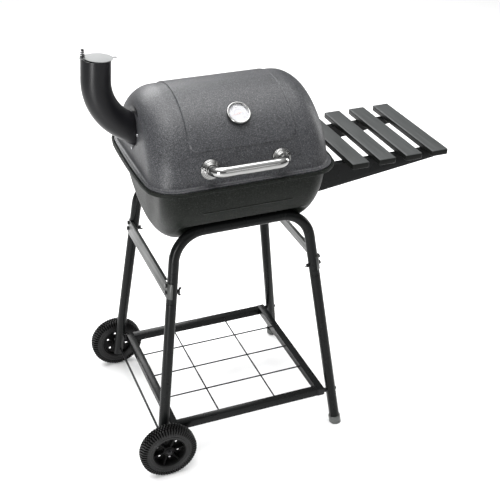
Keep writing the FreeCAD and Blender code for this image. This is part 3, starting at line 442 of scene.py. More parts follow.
def dress(node, material):
    """Show a CAD node with its edges slightly rounded and a material of its own."""
    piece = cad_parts[node]
    piece.data.materials.clear()
    piece.data.materials.append(MATERIALS[material])
    for polygon in piece.data.polygons:
        polygon.use_smooth = True
    weld = piece.modifiers.new("weld", "WELD")
    weld.merge_threshold = 1e-6
    flat = piece.modifiers.new("flat", "DECIMATE")
    flat.decimate_type = "DISSOLVE"
    flat.angle_limit = math.radians(0.5)
    edge = piece.modifiers.new("edge", "BEVEL")
    edge.width = EDGE_BEVEL * MM
    edge.segments = 2
    edge.limit_method = "ANGLE"
    edge.angle_limit = math.radians(35)
    edge.harden_normals = True


# ---- Barrel skins of the lid and the bowl ----
def smoothstep(low, high, value):
    t = min(1.0, max(0.0, (value - low) / (high - low)))
    return t * t * (3 - 2 * t)


def outline(half_x, half_y, corner, bow, steps=40):
    """Rounded rectangle with bowed short sides, anticlockwise from the front left corner."""
    points = []
    cx, cy = half_x - corner, half_y - corner

    def arc(x, y, first):
        for k in range(1, steps):
            turn = math.radians(first + 90 * k / steps)
            points.append(Vector((x + corner * math.cos(turn), y + corner * math.sin(turn), 0)))

    def run(a, b, sag):
        for k in range(steps + 1):
            t = k / steps
            points.append(Vector((a[0] + (b[0] - a[0]) * t + sag * 4 * t * (1 - t), a[1] + (b[1] - a[1]) * t, 0)))

    run((-cx, -half_y), (cx, -half_y), 0)
    arc(cx, -cy, -90)
    run((half_x, -cy), (half_x, cy), bow)
    arc(cx, cy, 0)
    run((cx, half_y), (-cx, half_y), 0)
    arc(-cx, cy, 90)
    run((-half_x, cy), (-half_x, -cy), -bow)
    arc(-cx, -cy, 180)
    return points


def nearest_on(loop, p):
    """Nearest point of a closed polyline to a point, in plan."""
    best, best_gap = None, 1e9
    p = Vector((p[0], p[1], 0))
    for a, b in zip(loop, loop[1:] + loop[:1]):
        run = b - a
        t = min(1.0, max(0.0, (p - a).dot(run) / max(run.length_squared, 1e-12)))
        here = a + run * t
        gap = (here - p).length
        if gap < best_gap:
            best, best_gap = here, gap
    return best


class Barrel:
    """Half barrel along X: an elliptical arch with leaning ends and rounded end edges.

    A skin is a grid of rows across X and columns over the arch, with a flat cap at each end. Heights are measured
    from the base plane, and sign is -1 for a bowl, which hangs below it.
    """

    def __init__(self, half_x, half_y, height, end_radius, lean, base_z, sign):
        self.half_x, self.half_y, self.height = half_x, half_y, height
        self.end_radius, self.lean, self.base_z, self.sign = end_radius, lean, base_z, sign

    def rows(self, xs, end_steps):
        """(x before the lean, section inset, side) for each row from the left end to the right."""
        left = []
        for k in range(end_steps + 1):
            turn = math.radians(90 * k / end_steps)
            inset = self.end_radius * (1 - math.sin(turn))
            left.append((-self.half_x + self.end_radius * (1 - math.cos(turn)), inset))
        flat = self.half_x - self.end_radius
        middle = [(x, 0.0) for x in xs if abs(x) < flat - 1]
        return left + middle + [(-x, inset) for x, inset in left[::-1]]

    def point(self, x, inset, u, offset, relief):
        """Point of the skin set in by offset, with the relief function's height added."""
        b = self.half_y - inset - offset
        h = self.height - inset - offset
        normal = Vector((0, math.cos(u) / b, math.sin(u) / h)).normalized()
        y, z = b * math.cos(u), h * math.sin(u)
        lean = self.lean * z * smoothstep(self.half_x - 2 * self.end_radius, self.half_x - self.end_radius, abs(x))
        reach = 1 - offset / self.half_x
        here = Vector((x * reach - math.copysign(lean, x) if x else 0.0, y, z))
        return relief(here, normal, x, u, inset)

    def place(self, p):
        return Vector((p.x, p.y, self.base_z + self.sign * p.z))

    def skin(self, xs, columns, offset, cut, relief, end_steps=12, cap_steps=10):
        """Grid points, faces and the boundary loop at height cut above the base plane."""
        points, faces = [], []
        table = []
        for x, inset in self.rows(xs, end_steps):
            first = math.asin(cut / (self.height - inset - offset))
            us = columns(inset, first)
            table.append([self.add(points, self.place(self.point(x, inset, u, offset, relief))) for u in us])
        width = len(table[0])
        for a, b in zip(table, table[1:]):
            for j in range(width - 1):
                faces.append((a[j], b[j], b[j + 1], a[j + 1]))
        caps = []
        for edge in (table[0], table[-1]):
            grid = []
            half = (width - 1) // 2
            for j in range(half + 1):
                p, q = points[edge[j]], points[edge[-1 - j]]
                inner = [self.add(points, p.lerp(q, k / cap_steps)) for k in range(1, cap_steps)] if j < half else []
                grid.append([edge[j], *inner, edge[-1 - j]] if j < half else [edge[j]] * (cap_steps + 1))
            for a, b in zip(grid, grid[1:]):
                for k in range(cap_steps):
                    face = []
                    for i in (a[k], a[k + 1], b[k + 1], b[k]):
                        if i not in face:
                            face.append(i)
                    faces.append(tuple(face))
            caps.append(grid[0])
        front = [row[-1] for row in table]
        rear = [row[0] for row in table]
        loop = front + caps[1][-2:0:-1] + rear[::-1] + caps[0][1:-1]
        return points, faces, loop

    @staticmethod
    def add(points, p):
        points.append(p)
        return len(points) - 1


def spread(anchors, counts):
    """Values that divide each span between anchors into a number of equal steps."""
    values = [anchors[0]]
    for a, b, n in zip(anchors, anchors[1:], counts):
        values += [a + (b - a) * (k + 1) / n for k in range(n)]
    return values


def both_sides(half):
    return [-x for x in half[:0:-1]] + half


def over_arch(half):
    return half + [math.pi - u for u in half[-2::-1]]


def barrel_shell(outer, inner, section, rim):
    """Closed shell from an outer and an inner skin, joined round the rim by a section.

    The section is a list of (share, distance, height): a point lies distance from the skin's edge towards the rim's
    outline, plus share times the whole way there.
    """
    points, faces, loop = outer
    inner_points, inner_faces, inner_loop = inner
    points = list(points)
    faces = list(faces)
    targets = [nearest_on(rim, points[i]) for i in loop]
    previous = loop
    for share, distance, height in section:
        ring = []
        for i, target in zip(loop, targets):
            base = Vector((points[i].x, points[i].y, 0))
            way = target - base
            here = base + way * share + way.normalized() * distance
            points.append(Vector((here.x, here.y, height)))
            ring.append(len(points) - 1)
        faces += strip(previous, ring)
        previous = ring
    shift = len(points)
    points += inner_points
    faces += [tuple(i + shift for i in face)[::-1] for face in inner_faces]
    faces += strip(previous, [i + shift for i in inner_loop])
    return points, faces


def strip(a, b):
    count = len(a)
    return [(a[j], a[(j + 1) % count], b[(j + 1) % count], b[j]) for j in range(count)]


def cut_by(piece, tools):
    """Cut closed tool meshes, given as (points, faces), out of a piece."""
    for points, faces in tools:
        mesh = bpy.data.meshes.new("cutter")
        mesh.from_pydata([to_frame(p) for p in points], [], faces)
        tidy_mesh(mesh)
        tool = add_object("cutter", mesh)
        modifier = piece.modifiers.new("cut", "BOOLEAN")
        modifier.operation = "DIFFERENCE"
        modifier.solver = "EXACT"
        modifier.object = tool
        bpy.context.view_layer.update()
        evaluated = piece.evaluated_get(bpy.context.evaluated_depsgraph_get())
        result = bpy.data.meshes.new_from_object(evaluated)
        piece.modifiers.remove(modifier)
        old = piece.data
        piece.data = result
        result.name = old.name + "_cut"
        bpy.data.meshes.remove(old)
        bpy.data.objects.remove(tool)
        bpy.data.meshes.remove(mesh)


# ---- Lid ----
LID_BASE = 765.7
LID_EDGE = 777.0          # height where the lid's skin turns out into its rim
LID = Barrel(227.5, 191.7, 186.9, 63.0, 0.07, LID_BASE, 1)
SHEET = 1.5
PANEL_HALF = 137.0
PANEL_RAISE = 2.5
PANEL_LOW = 853.0 - LID_BASE
PANEL_CORNER = 27.0
PANEL_EDGE = 1.2
PANEL_GROOVE = 0.6
LID_RIM = outline(235.0, 204.5, 72.5, 4.0)
FLARE = 6.0
FLARE_TURNS = [math.radians(90 * k / 6) for k in range(1, 7)]


def panel_relief(offset):
    """Raised panel over the top: a rounded rectangle measured along the arch."""
    mean = (LID.half_y + LID.height) / 2
    low = math.asin(PANEL_LOW / LID.height)
    half_arc = mean * (math.pi / 2 - low)

    def relief(here, normal, x, u, inset):
        across = abs(x) - (PANEL_HALF - PANEL_CORNER)
        along = abs(u - math.pi / 2) * mean - (half_arc - PANEL_CORNER)
        gap = math.hypot(max(across, 0), max(along, 0)) + min(max(across, along), 0) - PANEL_CORNER
        rise = PANEL_RAISE * (1 - smoothstep(-PANEL_EDGE, PANEL_EDGE, gap))
        rise -= PANEL_GROOVE * math.exp(-((gap - 2.2) / 1.1) ** 2)
        return here + normal * rise
    return relief


def lid_columns(inset, first):
    """Angles over the arch, closest together at the panel's lower edges."""
    low = math.asin(min(0.99, PANEL_LOW / (LID.height - inset)))
    near, far = low - 0.045, low + 0.17
    half = spread([first, near, low + 0.03, far, math.pi / 2], [10, 16, 8, 24])
    return over_arch(half)


def lid_rows():
    edge = PANEL_HALF
    half = spread([0.0, edge - 32, edge - 5, edge + 5, LID.half_x - LID.end_radius], [14, 9, 14, 9])
    return both_sides(half)


def build_lid():
    rows = lid_rows()
    top = LID_EDGE
    relief = panel_relief(0)
    outer = LID.skin(rows, lid_columns, 0.0, top + FLARE - LID.base_z, relief)
    inner = LID.skin(rows, lid_columns, SHEET, top + 2 - LID.base_z, relief)
    section = [(0, FLARE * (1 - math.cos(t)), top + FLARE * (1 - math.sin(t))) for t in FLARE_TURNS]
    nose = softened([(-3.2, top), (0, top, 2.4), (0, 771.0, 1.8), (-4.0, 771.0, 1.2), (-4.0, top - SHEET, 0.8),
                     (-6.0, top - SHEET)], 1.0)
    section += [(1, d, z) for d, z in nose]
    section += [(0, 1.5, top - SHEET), (0, -0.6, top - 1.2)]
    shell = barrel_shell(outer, inner, section, LID_RIM)
    lid = add_piece("lid_shell_visual", *shell, "grill_paint", "lid", ["lid_shell"])
    hole = [(150.0, LID_HOLE)], [(CHIMNEY.length, LID_HOLE)]
    cut_by(lid, [loft(tube_rings(CHIMNEY, LID_HOLE, *hole, 48))])


# ---- Bowl ----
BOWL_BASE = 768.0
BOWL_EDGE = 763.0         # height where the bowl's skin turns out into its rim
BOWL = Barrel(211.0, 206.0, 192.0, 55.0, 0.08, BOWL_BASE, -1)
BOWL_RIM = outline(242.5, 212.0, 80.0, 4.0)
SEAT_DROP = BOWL_BASE - 670.0
SEAT_HALF_Y = 141.0
SEAT_FULL_X = 128.0
SEAT_HALF_X = 184.0
BEAD_DROP = BOWL_BASE - 708.0
BEAD_HALF_X = 116.0
SEAT_GAP = 0.09          # least width of the ledge's strip of columns, in radians


def seat_angles(inset):
    """Angles between which the bowl's skin is stepped in over the leg tubes, and how far the step is formed."""
    b, h = BOWL.half_y - inset, BOWL.height - inset
    first = math.asin(min(0.99, SEAT_DROP / h))
    last = math.acos(min(0.99, SEAT_HALF_Y / b))
    formed = smoothstep(SEAT_GAP, SEAT_GAP * 1.8, last - first)
    middle = (first + last) / 2
    half = max(SEAT_GAP, last - first) / 2
    return middle - half, middle + half, formed


def bowl_columns(inset, first):
    start, end, _ = seat_angles(inset)
    bead = math.asin(BEAD_DROP / (BOWL.height - inset))
    anchors = [first, bead - 0.035, bead + 0.035, start - 0.03, start, end, end + 0.03, math.pi / 2]
    half = spread(anchors, [5, 12, 6, 3, 16, 3, 20])
    return over_arch(half)


def bowl_relief(here, normal, x, u, inset):
    """Pressed line along the front and the rear, and the steps over the leg tubes."""
    drop = here.z
    line = math.exp(-((drop - BEAD_DROP) / 1.7) ** 2)
    line *= 1 - smoothstep(BEAD_HALF_X - 3, BEAD_HALF_X + 2, abs(x))
    here = here + normal * 1.3 * line * (inset < 0.5)
    start, end, formed = seat_angles(inset)
    angle = min(u, math.pi - u)
    if start < angle < end and formed > 0:
        side = math.copysign(1, math.cos(u))
        t = (angle - start) / (end - start)
        corner_y, corner_z = SEAT_HALF_Y, SEAT_DROP
        b, h = BOWL.half_y - inset, BOWL.height - inset
        edge_y, foot_z = b * math.cos(start), h * math.sin(end)
        path = softened([(edge_y, corner_z), (corner_y, corner_z, 16.0), (corner_y, foot_z)], 16.0, steps=8)
        y, z = along_path(path, t)
        formed *= 1 - smoothstep(SEAT_FULL_X, SEAT_HALF_X, abs(x))
        here = here.lerp(Vector((here.x, side * y, z)), formed)
    return here


def along_path(path, share):
    """Point at a share of the length of a flat polyline."""
    lengths = [math.dist(a, b) for a, b in zip(path, path[1:])]
    goal = share * sum(lengths)
    for a, b, length in zip(path, path[1:], lengths):
        if goal <= length and length > 0:
            t = goal / length
            return a[0] + (b[0] - a[0]) * t, a[1] + (b[1] - a[1]) * t
        goal -= length
    return path[-1]


def bowl_rows():
    half = spread([0.0, BEAD_HALF_X - 6, BEAD_HALF_X + 4, BOWL.half_x - BOWL.end_radius], [16, 6, 8])
    return both_sides(half)


def build_bowl():
    rows = bowl_rows()
    low = BOWL_EDGE
    outer = BOWL.skin(rows, bowl_columns, 0.0, BOWL.base_z - low, bowl_relief, end_steps=18)
    inner = BOWL.skin(rows, bowl_columns, SHEET, 1.0, bowl_relief, end_steps=18)
    section = [(0, FLARE * (1 - math.cos(t)), low + FLARE * math.sin(t)) for t in FLARE_TURNS]
    bead = softened([(-6.5, 769.0), (-5.0, 769.0, 0.8), (-5.0, 766.0, 1.2), (0, 766.0, 2.0), (0, 775.0, 2.4),
                     (-5.0, 775.0, 2.0), (-5.0, 770.5, 0.8), (-6.5, 770.5)], 1.0)
    section += [(1, d, z) for d, z in bead]
    section += [(0, 2.5, 770.5), (0, 0.6, 770.2), (0, -0.8, 769.0)]
    shell = barrel_shell(outer, inner, section, BOWL_RIM)
    # The bowl wears the darker copy of the lid's paint, a painted shade.
    bowl = add_piece("bowl_shell_visual", *shell, "bowl_paint", "root", ["bowl_shell"], slot="grill_paint")
    ports = []
    for k in range(3):
        turn = math.radians(120 * k)
        centre = (21 * math.cos(turn), 21 * math.sin(turn), 565.0)
        ports.append(lathe([(0, 0), (10, 0), (10, 30), (0, 30)], centre, (0, 0, 1), 32))
    cut_by(bowl, ports)


# ---- Chimney ----
PIPE = 35.2
LID_HOLE = 34.6           # radius of the hole in the lid, hidden behind the pipe
PIPE_WALL = 1.5
PIPE_HEAD = Vector((-297.5, 0, 1043.0))
PIPE_BEND = 130.0
PIPE_LEAN = math.radians(4.5)
PIPE_SLOPE = math.radians(55.0)
PIPE_UPPER = 123.6
PIPE_UP = Vector((math.sin(PIPE_LEAN), 0, math.cos(PIPE_LEAN)))


def chimney_route(lower):
    """Centre line from the top of the pipe down into the lid; the lower run is measured from the corner."""
    corner = PIPE_HEAD - PIPE_UP * PIPE_UPPER
    end = corner + Vector((math.sin(PIPE_SLOPE), 0, -math.cos(PIPE_SLOPE))) * lower
    return Route(arc_route([PIPE_HEAD, corner, end], PIPE_BEND), (0, 1, 0))


def on_pipe(points):
    """Points moved from the frame of the pipe's top, +Z along the upper run, to their places."""
    lean = Matrix.Rotation(PIPE_LEAN, 3, "Y")
    return [PIPE_HEAD + lean @ Vector(p) for p in points]


CHIMNEY = chimney_route(190.0)


def lid_wall_x(z, inside):
    """X of the lid's left wall, or of a plane a distance inside it."""
    return -LID.half_x + LID.lean * (z - LID.base_z) + inside


def coped_ring(route, distance, radius, segments, inside):
    """Ring of the pipe slid along it to a plane inside the lid's left wall."""
    _, tangent, _ = route.at(distance)
    ring = []
    for p in route.ring(distance, radius, segments):
        slide = (lid_wall_x(p.z, inside) - p.x) / (tangent.x - LID.lean * tangent.z)
        ring.append(p + tangent * slide)
    return ring


def build_chimney():
    segments = 72
    bend_end = CHIMNEY.length - 115.0
    inner = PIPE - PIPE_WALL
    stations = [2.0, 20.0, 40.0] + CHIMNEY.stations(45.0, bend_end)
    rings = [coped_ring(CHIMNEY, bend_end, inner, segments, 6.0)]
    rings += [CHIMNEY.ring(s, inner, segments) for s in stations[::-1]]
    for s, r in ((0.5, inner), (0.1, inner + 0.25), (0.1, PIPE - 0.4), (0.6, PIPE)):
        rings.append(CHIMNEY.ring(s, r, segments))
    rings += [CHIMNEY.ring(s, PIPE, segments) for s in stations]
    rings.append(coped_ring(CHIMNEY, bend_end, PIPE, segments, 6.0))
    pipe = loft(rings, closed=True)
    lug, lug_faces = rounded_box((-33.4, -5.5, -8), (-24.0, 5.5, -5), 0.8)
    whole = merged([pipe, (on_pipe(lug), lug_faces), chimney_collar()])
    add_piece("chimney_elbow_visual", *whole, "chimney_paint", "lid", ["chimney_elbow"])


def build_spring():
    """Conical coil on the damper's bolt, wide at the bottom."""
    wire, turns, steps = 1.1, 3.1, 84
    rings = []
    for k in range(steps + 1):
        share = k / steps
        turn = 2 * math.pi * turns * share
        spoke = Vector((math.cos(turn), math.sin(turn), 0))
        centre = Vector((-31.2, 0, 3.0 + 14.8 * share)) + spoke * (5.6 - 1.7 * share)
        ring = [centre + (spoke * math.cos(a) + Vector((0, 0, 1)) * math.sin(a)) * wire
                for a in circle(12)]
        rings.append(on_pipe(ring))
    add_piece("damper_spring_visual", *loft(rings), "black_zinc", "lid", ["damper_spring"], slot="zinc")


def chimney_collar():
    """Flange inside the lid round the pipe's end, held by the screws."""
    centre_z = 858.0
    loops = []
    for inside, wide, high in ((3.8, 50.0, 56.0), (2.0, 50.8, 56.8), (1.6, 50.0, 56.0), (1.6, 37.0, 45.0),
                               (3.8, 37.0, 45.0)):
        loop = []
        for turn in circle(72):
            z = centre_z + high * math.sin(turn)
            loop.append(Vector((lid_wall_x(z, inside), wide * math.cos(turn), z)))
        loops.append(loop)
    return loft(loops, closed=True)


# ---- Handle ----
HANDLE_X = -3.0
HANDLE_HALF = 88.0
HANDLE_BASE = (-184.6, 814.5)
HANDLE_RISE = math.radians(11.0)
HANDLE_OUT = Vector((0, -math.cos(HANDLE_RISE), math.sin(HANDLE_RISE)))
HANDLE_RADIUS = 12.5


def depth_to_lid(p, direction):
    """Distance from a point along a direction to the lid's plain arch."""
    a = (direction.y / LID.half_y) ** 2 + (direction.z / LID.height) ** 2
    z = p.z - LID.base_z
    b = p.y * direction.y / LID.half_y ** 2 + z * direction.z / LID.height ** 2
    c = (p.y / LID.half_y) ** 2 + (z / LID.height) ** 2 - 1
    return (-b - math.sqrt(max(0.0, b * b - a * c))) / a


def build_handle():
    feet = [Vector((HANDLE_X + side * HANDLE_HALF, *HANDLE_BASE)) for side in (-1, 1)]
    corners = [feet[0], feet[0] + HANDLE_OUT * 40, feet[1] + HANDLE_OUT * 40, feet[1]]
    route = Route(arc_route(corners, 24.0), HANDLE_OUT.cross(Vector((1, 0, 0))))
    low = [(0.5, HANDLE_RADIUS), (8.0, HANDLE_RADIUS)]
    high = [(route.length - 8.0, HANDLE_RADIUS), (route.length - 0.5, HANDLE_RADIUS)]
    rings = tube_rings(route, HANDLE_RADIUS, low, high, 56)
    add_piece("lid_handle_visual", *loft(rings), "chrome", "lid", ["lid_handle"])
    rosettes = []
    steps = softened([(12.6, 1.0), (12.6, 13.0, 0.5), (15.5, 13.0, 1.6), (15.8, 9.4, 0.8), (18.0, 9.0, 1.2),
                      (18.4, 5.8, 0.8), (21.5, 5.5, 1.2), (21.9, 3.6, 0.5), (24.0, 3.4, 1.4), (24.0, 1.0)], 1.0)
    for foot in feet:
        points, faces = lathe(steps, foot, HANDLE_OUT, 72)
        count = len(steps)
        for k in range(0, len(points), count):
            for i in (k, k + count - 1):
                points[i] = points[i] - HANDLE_OUT * (depth_to_lid(points[i], -HANDLE_OUT) + 0.7)
        rosettes.append((points, faces))
    add_piece("handle_rosettes_visual", *merged(rosettes), "chrome", "lid", ["handle_rosettes"])


# ---- Thermometer ----
DIAL_ANGLE = math.radians(51.5)
DIAL_RADIUS = 28.5
DIAL_OUT = Vector((0, -math.cos(DIAL_ANGLE), math.sin(DIAL_ANGLE)))
DIAL_UP = Vector((0, math.sin(DIAL_ANGLE), math.cos(DIAL_ANGLE)))
DIAL_FACE = 5.0
NEEDLE_ANGLE = math.radians(195)  # anticlockwise from +X


def dial_point():
    half_y, height = LID.half_y + PANEL_RAISE, LID.height + PANEL_RAISE
    u = math.atan(math.tan(DIAL_ANGLE) * height / half_y)
    return Vector((0, -half_y * math.cos(u), LID.base_z + height * math.sin(u)))


DIAL_POINT = dial_point()


def on_dial(x, y, h):
    return DIAL_POINT + Vector((x, 0, 0)) + DIAL_UP * y + DIAL_OUT * h


def dial_sector(low_r, high_r, first, last, low, high):
    """Thin printed mark between two radii and two angles, in degrees anticlockwise from +X."""
    steps = max(1, round(abs(last - first) / 4))
    rings = []
    for k in range(steps + 1):
        turn = math.radians(first + (last - first) * k / steps)
        c, s = math.cos(turn), math.sin(turn)
        corners = ((low_r, low), (high_r, low), (high_r, high), (low_r, high))
        rings.append([on_dial(r * c, r * s, h) for r, h in corners])
    return loft(rings)


def dial_numbers():
    """Generic numbers round the dial, as thin raised print."""
    parts = []
    for k, label in enumerate(("0", "100", "200", "300", "400")):
        turn = math.radians(225 - 67.5 * k)
        curve = bpy.data.curves.new("number", "FONT")
        curve.body = label
        curve.size = 4.6
        curve.align_x = "CENTER"
        curve.align_y = "CENTER"
        curve.extrude = 0.02
        curve.resolution_u = 3
        text = add_object("number", curve)
        bpy.context.view_layer.update()
        mesh = bpy.data.meshes.new_from_object(text.evaluated_get(bpy.context.evaluated_depsgraph_get()))
        points = [on_dial(v.co.x + 15.6 * math.cos(turn), v.co.y + 15.6 * math.sin(turn), DIAL_FACE + 0.03 + v.co.z)
                  for v in mesh.vertices]
        parts.append((points, [tuple(f.vertices) for f in mesh.polygons]))
        bpy.data.objects.remove(text)
        bpy.data.meshes.remove(mesh)
        bpy.data.curves.remove(curve)
    return merged(parts)


def build_thermometer():
    r = DIAL_RADIUS
    case = softened([(0, 0.1), (r, 0.1, 0.8), (r, 11.0, 3.4), (r - 4.2, 10.6, 1.2), (r - 4.2, 9.7, 0.3),
                     (r - 1.6, 9.6, 0.3), (r - 1.6, 1.6, 0.5), (0, 1.6)], 0.5, steps=6)
    stem = softened([(0, -28), (3, -28, 1.0), (3, -10.6, 0.2), (4, -10, 0.4), (4, 0.3), (0, 0.3)], 0.5)
    parts = [lathe(case, DIAL_POINT, DIAL_OUT, 96), lathe(stem, DIAL_POINT, DIAL_OUT, 32)]
    add_piece("thermometer_case_visual", *merged(parts), "chrome", "lid", ["thermometer_case"])
    face = softened([(0, 3.2), (r - 1.7, 3.2), (r - 1.7, DIAL_FACE, 0.4), (1.3, DIAL_FACE, 0.2), (1.3, 3.4), (0, 3.4)],
                    0.2)
    add_piece("thermometer_dial_visual", *lathe(face, DIAL_POINT, DIAL_OUT, 96), "dial_white", "lid",
              ["thermometer_dial"])
    low, high = DIAL_FACE - 0.05, DIAL_FACE + 0.05
    ticks = [dial_sector(21.4, 21.9, -45, 225, low, high)]
    for k in range(41):
        turn = 225 - 6.75 * k
        length = 2.6 if k % 5 == 0 else 1.5
        width = 0.8 if k % 5 == 0 else 0.45
        ticks.append(dial_sector(21.5 - length, 21.5, turn - width, turn + width, low, high + 0.01))
    ticks.append(dial_numbers())
    add_piece("dial_scale", *merged(ticks), "dial_ink", "lid", slot="dial_white")
    bands = [dial_sector(9.6, 11.6, 20, 188, low, high), dial_sector(9.6, 11.6, -30, 14, low, high)]
    add_piece("dial_zones", *merged(bands), "dial_band", "lid", slot="dial_white")
    lens = softened([(0, 8.3), (r - 1.8, 8.3, 0.2), (r - 1.8, 9.4, 0.4), (0, 9.5)], 0.3)
    add_piece("thermometer_glass_visual", *lathe(lens, DIAL_POINT, DIAL_OUT, 96), "glass", "lid",
              ["thermometer_glass"])
    build_needle()


def build_needle():
    """Tapered pointer with a counterweight and a domed hub."""
    turn = NEEDLE_ANGLE
    c, s = math.cos(turn), math.sin(turn)
    rings = []
    for along, half in ((-8.0, 1.3), (-7.4, 1.7), (-2.0, 1.2), (0.0, 1.3), (6.0, 0.95), (19.0, 0.35), (20.0, 0.1)):
        ring = []
        for across, h in ((-half, 5.5), (half, 5.5), (half, 6.0), (0.0, 6.15), (-half, 6.0)):
            ring.append(on_dial(along * c - across * s, along * s + across * c, h))
        rings.append(ring)
    hub = lathe(softened([(0, 4.0), (1.0, 4.0), (1.0, 5.45, 0.1), (3.0, 5.5, 0.2), (2.9, 6.2, 0.5), (0, 6.55)], 0.3),
                DIAL_POINT, DIAL_OUT, 40)
    add_piece("thermometer_needle_visual", *merged([loft(rings), hub]), "needle_red", "needle",
              ["thermometer_needle"])


# ---- Leg tubes ----
TUBE = 13.5
TUBE_WALL = 1.4
SEAM_Z = 465.0
BAR_Z = 642.0
BAR_BEND = 80.0


def leg_point(side_x, side_y, z):
    return Vector((side_x * (252.9 - 0.1281 * z), side_y * (227.9 - 0.1143 * z), z))


def build_u_tube(side_y, name):
    corners = [leg_point(-1, side_y, SEAM_Z), leg_point(-1, side_y, BAR_Z), leg_point(1, side_y, BAR_Z),
               leg_point(1, side_y, SEAM_Z)]
    plane = (corners[1] - corners[0]).cross(corners[2] - corners[1])
    route = Route(arc_route(corners, BAR_BEND), plane)
    whole = route.length
    inner = TUBE - TUBE_WALL
    low = [(0.5, inner), (0.0, inner + 0.2), (0.0, TUBE - 0.5), (0.6, TUBE), (60.0, TUBE)]
    high = [(whole - s, r) for s, r in low[::-1]]
    rings = tube_rings(route, TUBE, low, high, 48)
    add_piece(name + "_visual", *loft(rings), "black_paint", "root", [name])


def leg_along(side_x, side_y):
    return (leg_point(side_x, side_y, 1) - leg_point(side_x, side_y, 0)).normalized()


def leveled(ring, along, z):
    """Ring slid along a direction to a level plane."""
    return [p + along * ((z - p.z) / along.z) for p in ring]


def leg_ring(side_x, side_y, z, radius, segments=48):
    foot = leg_point(side_x, side_y, 0)
    along = leg_along(side_x, side_y)
    side, up = axes_of(along)
    centre = foot + along * (z / along.z)
    return [centre + (side * math.cos(t) + up * math.sin(t)) * radius for t in circle(segments)]


def build_leg(side_x, side_y, name):
    """Lower leg: open at a wheel, closed in its cap at a foot, with a neck that plugs into the U tube."""
    along = leg_along(side_x, side_y)
    low = 57.0 if side_x < 0 else 3.2
    inner = TUBE - TUBE_WALL
    neck = inner - 0.15
    rings = [leg_ring(side_x, side_y, low + 40, inner)]
    for lift, radius in ((0.3, inner), (0.0, inner + 0.3), (0.0, TUBE - 0.5), (0.6, TUBE)):
        rings.append(leveled(leg_ring(side_x, side_y, low, radius), along, low + lift))
    for z, radius in ((SEAM_Z - 2.2, TUBE), (SEAM_Z - 0.9, TUBE - 0.15), (SEAM_Z - 0.4, TUBE - 0.7),
                      (SEAM_Z - 0.3, neck), (SEAM_Z + 38.0, neck), (SEAM_Z + 39.5, neck - 1.0)):
        rings.append(leg_ring(side_x, side_y, z, radius))
    add_piece(name + "_visual", *loft(rings), "black_paint", "root", [name])


def build_foot_caps():
    """Moulded caps on the two right feet, level underneath, with a rounded rim and a shallow waist line."""
    caps = []
    for side_y in (-1, 1):
        along = leg_along(1, side_y)
        rings = [leveled(leg_ring(1, side_y, 0, r), along, z) for r, z in ((4.0, 1.2), (12.5, 1.2), (13.2, 0.0),
                                                                            (15.4, 0.0), (16.25, 0.9))]
        for z, r in ((4.5, 16.25), (5.2, 15.9), (6.2, 15.9), (6.9, 16.25), (20.4, 16.0), (21.7, 15.3), (21.8, 13.7),
                     (12.0, 13.6)):
            rings.append(leg_ring(1, side_y, z, r))
        caps.append(loft(rings))
    add_piece("foot_caps_visual", *merged(caps), "foot_plastic", "root", ["foot_caps"], slot="cap_plastic")


# ---- Wheels ----
AXLE_X = -240.0
AXLE_Z = 75.0
WHEEL_INNER_Y = 238.5
WHEEL_RADIUS = 75.0
WHEEL_WIDTH = 34.0
LUGS = 60
TREAD_DEPTH = 5.0
SHOULDER_DEPTH = 3.2
RIM_TURN = 8.0


def tyre_profile():
    """(radius, width position) round the tyre's outside, from one bead to the other."""
    half = softened([(44.0, 3.0), (44.6, 1.2, 1.0), (50.4, 0.5, 0.6), (51.0, 1.5, 0.5), (52.0, 1.5, 0.5),
                     (52.8, 0.4, 0.6), (64.0, 0.4, 3.0), (72.2, 2.2, 3.0), (74.6, 6.0, 2.4), (75.0, 17.0)],
                    1.0, steps=3)
    fine = []
    for a, b in zip(half, half[1:]):
        gap = math.dist(a, b)
        steps = max(1, math.ceil(gap / 0.9)) if a[0] > 58 else max(1, math.ceil(gap / 4))
        fine += [(a[0] + (b[0] - a[0]) * k / steps, a[1] + (b[1] - a[1]) * k / steps) for k in range(steps)]
    fine.append(half[-1])
    return fine + [(r, WHEEL_WIDTH - w) for r, w in fine[-2::-1]]


def on_block(phase):
    """1 on a block of the tread and 0 in the groove beside it."""
    return smoothstep(0.04, 0.12, phase) * (1 - smoothstep(0.52, 0.60, phase))


def tread_depth(r, w, turn):
    """How deep the tread's grooves cut in at a point of the tyre."""
    half = WHEEL_WIDTH / 2
    from_edge = half - abs(w - half)
    pitch = turn / (2 * math.pi) * LUGS * 2
    if r > 70.5:
        rows = ((1.4, 9.2, 0.0), (11.0, 16.2, 0.5))
        depth = TREAD_DEPTH
        for low, high, shift in rows:
            shift = shift + (0.5 if w > half else 0.0)
            phase = (pitch * 0.5 + shift) % 1.0
            inside = smoothstep(low - 0.5, low + 0.3, from_edge) * (1 - smoothstep(high - 0.3, high + 0.5, from_edge))
            depth -= TREAD_DEPTH * on_block(phase) * inside
        return max(0.0, depth) * smoothstep(70.5, 72.5, r)
    phase = (pitch * 0.5 + (0.5 if w > half else 0.0)) % 1.0
    return SHOULDER_DEPTH * (1 - on_block(phase)) * smoothstep(60.0, 61.5, r)


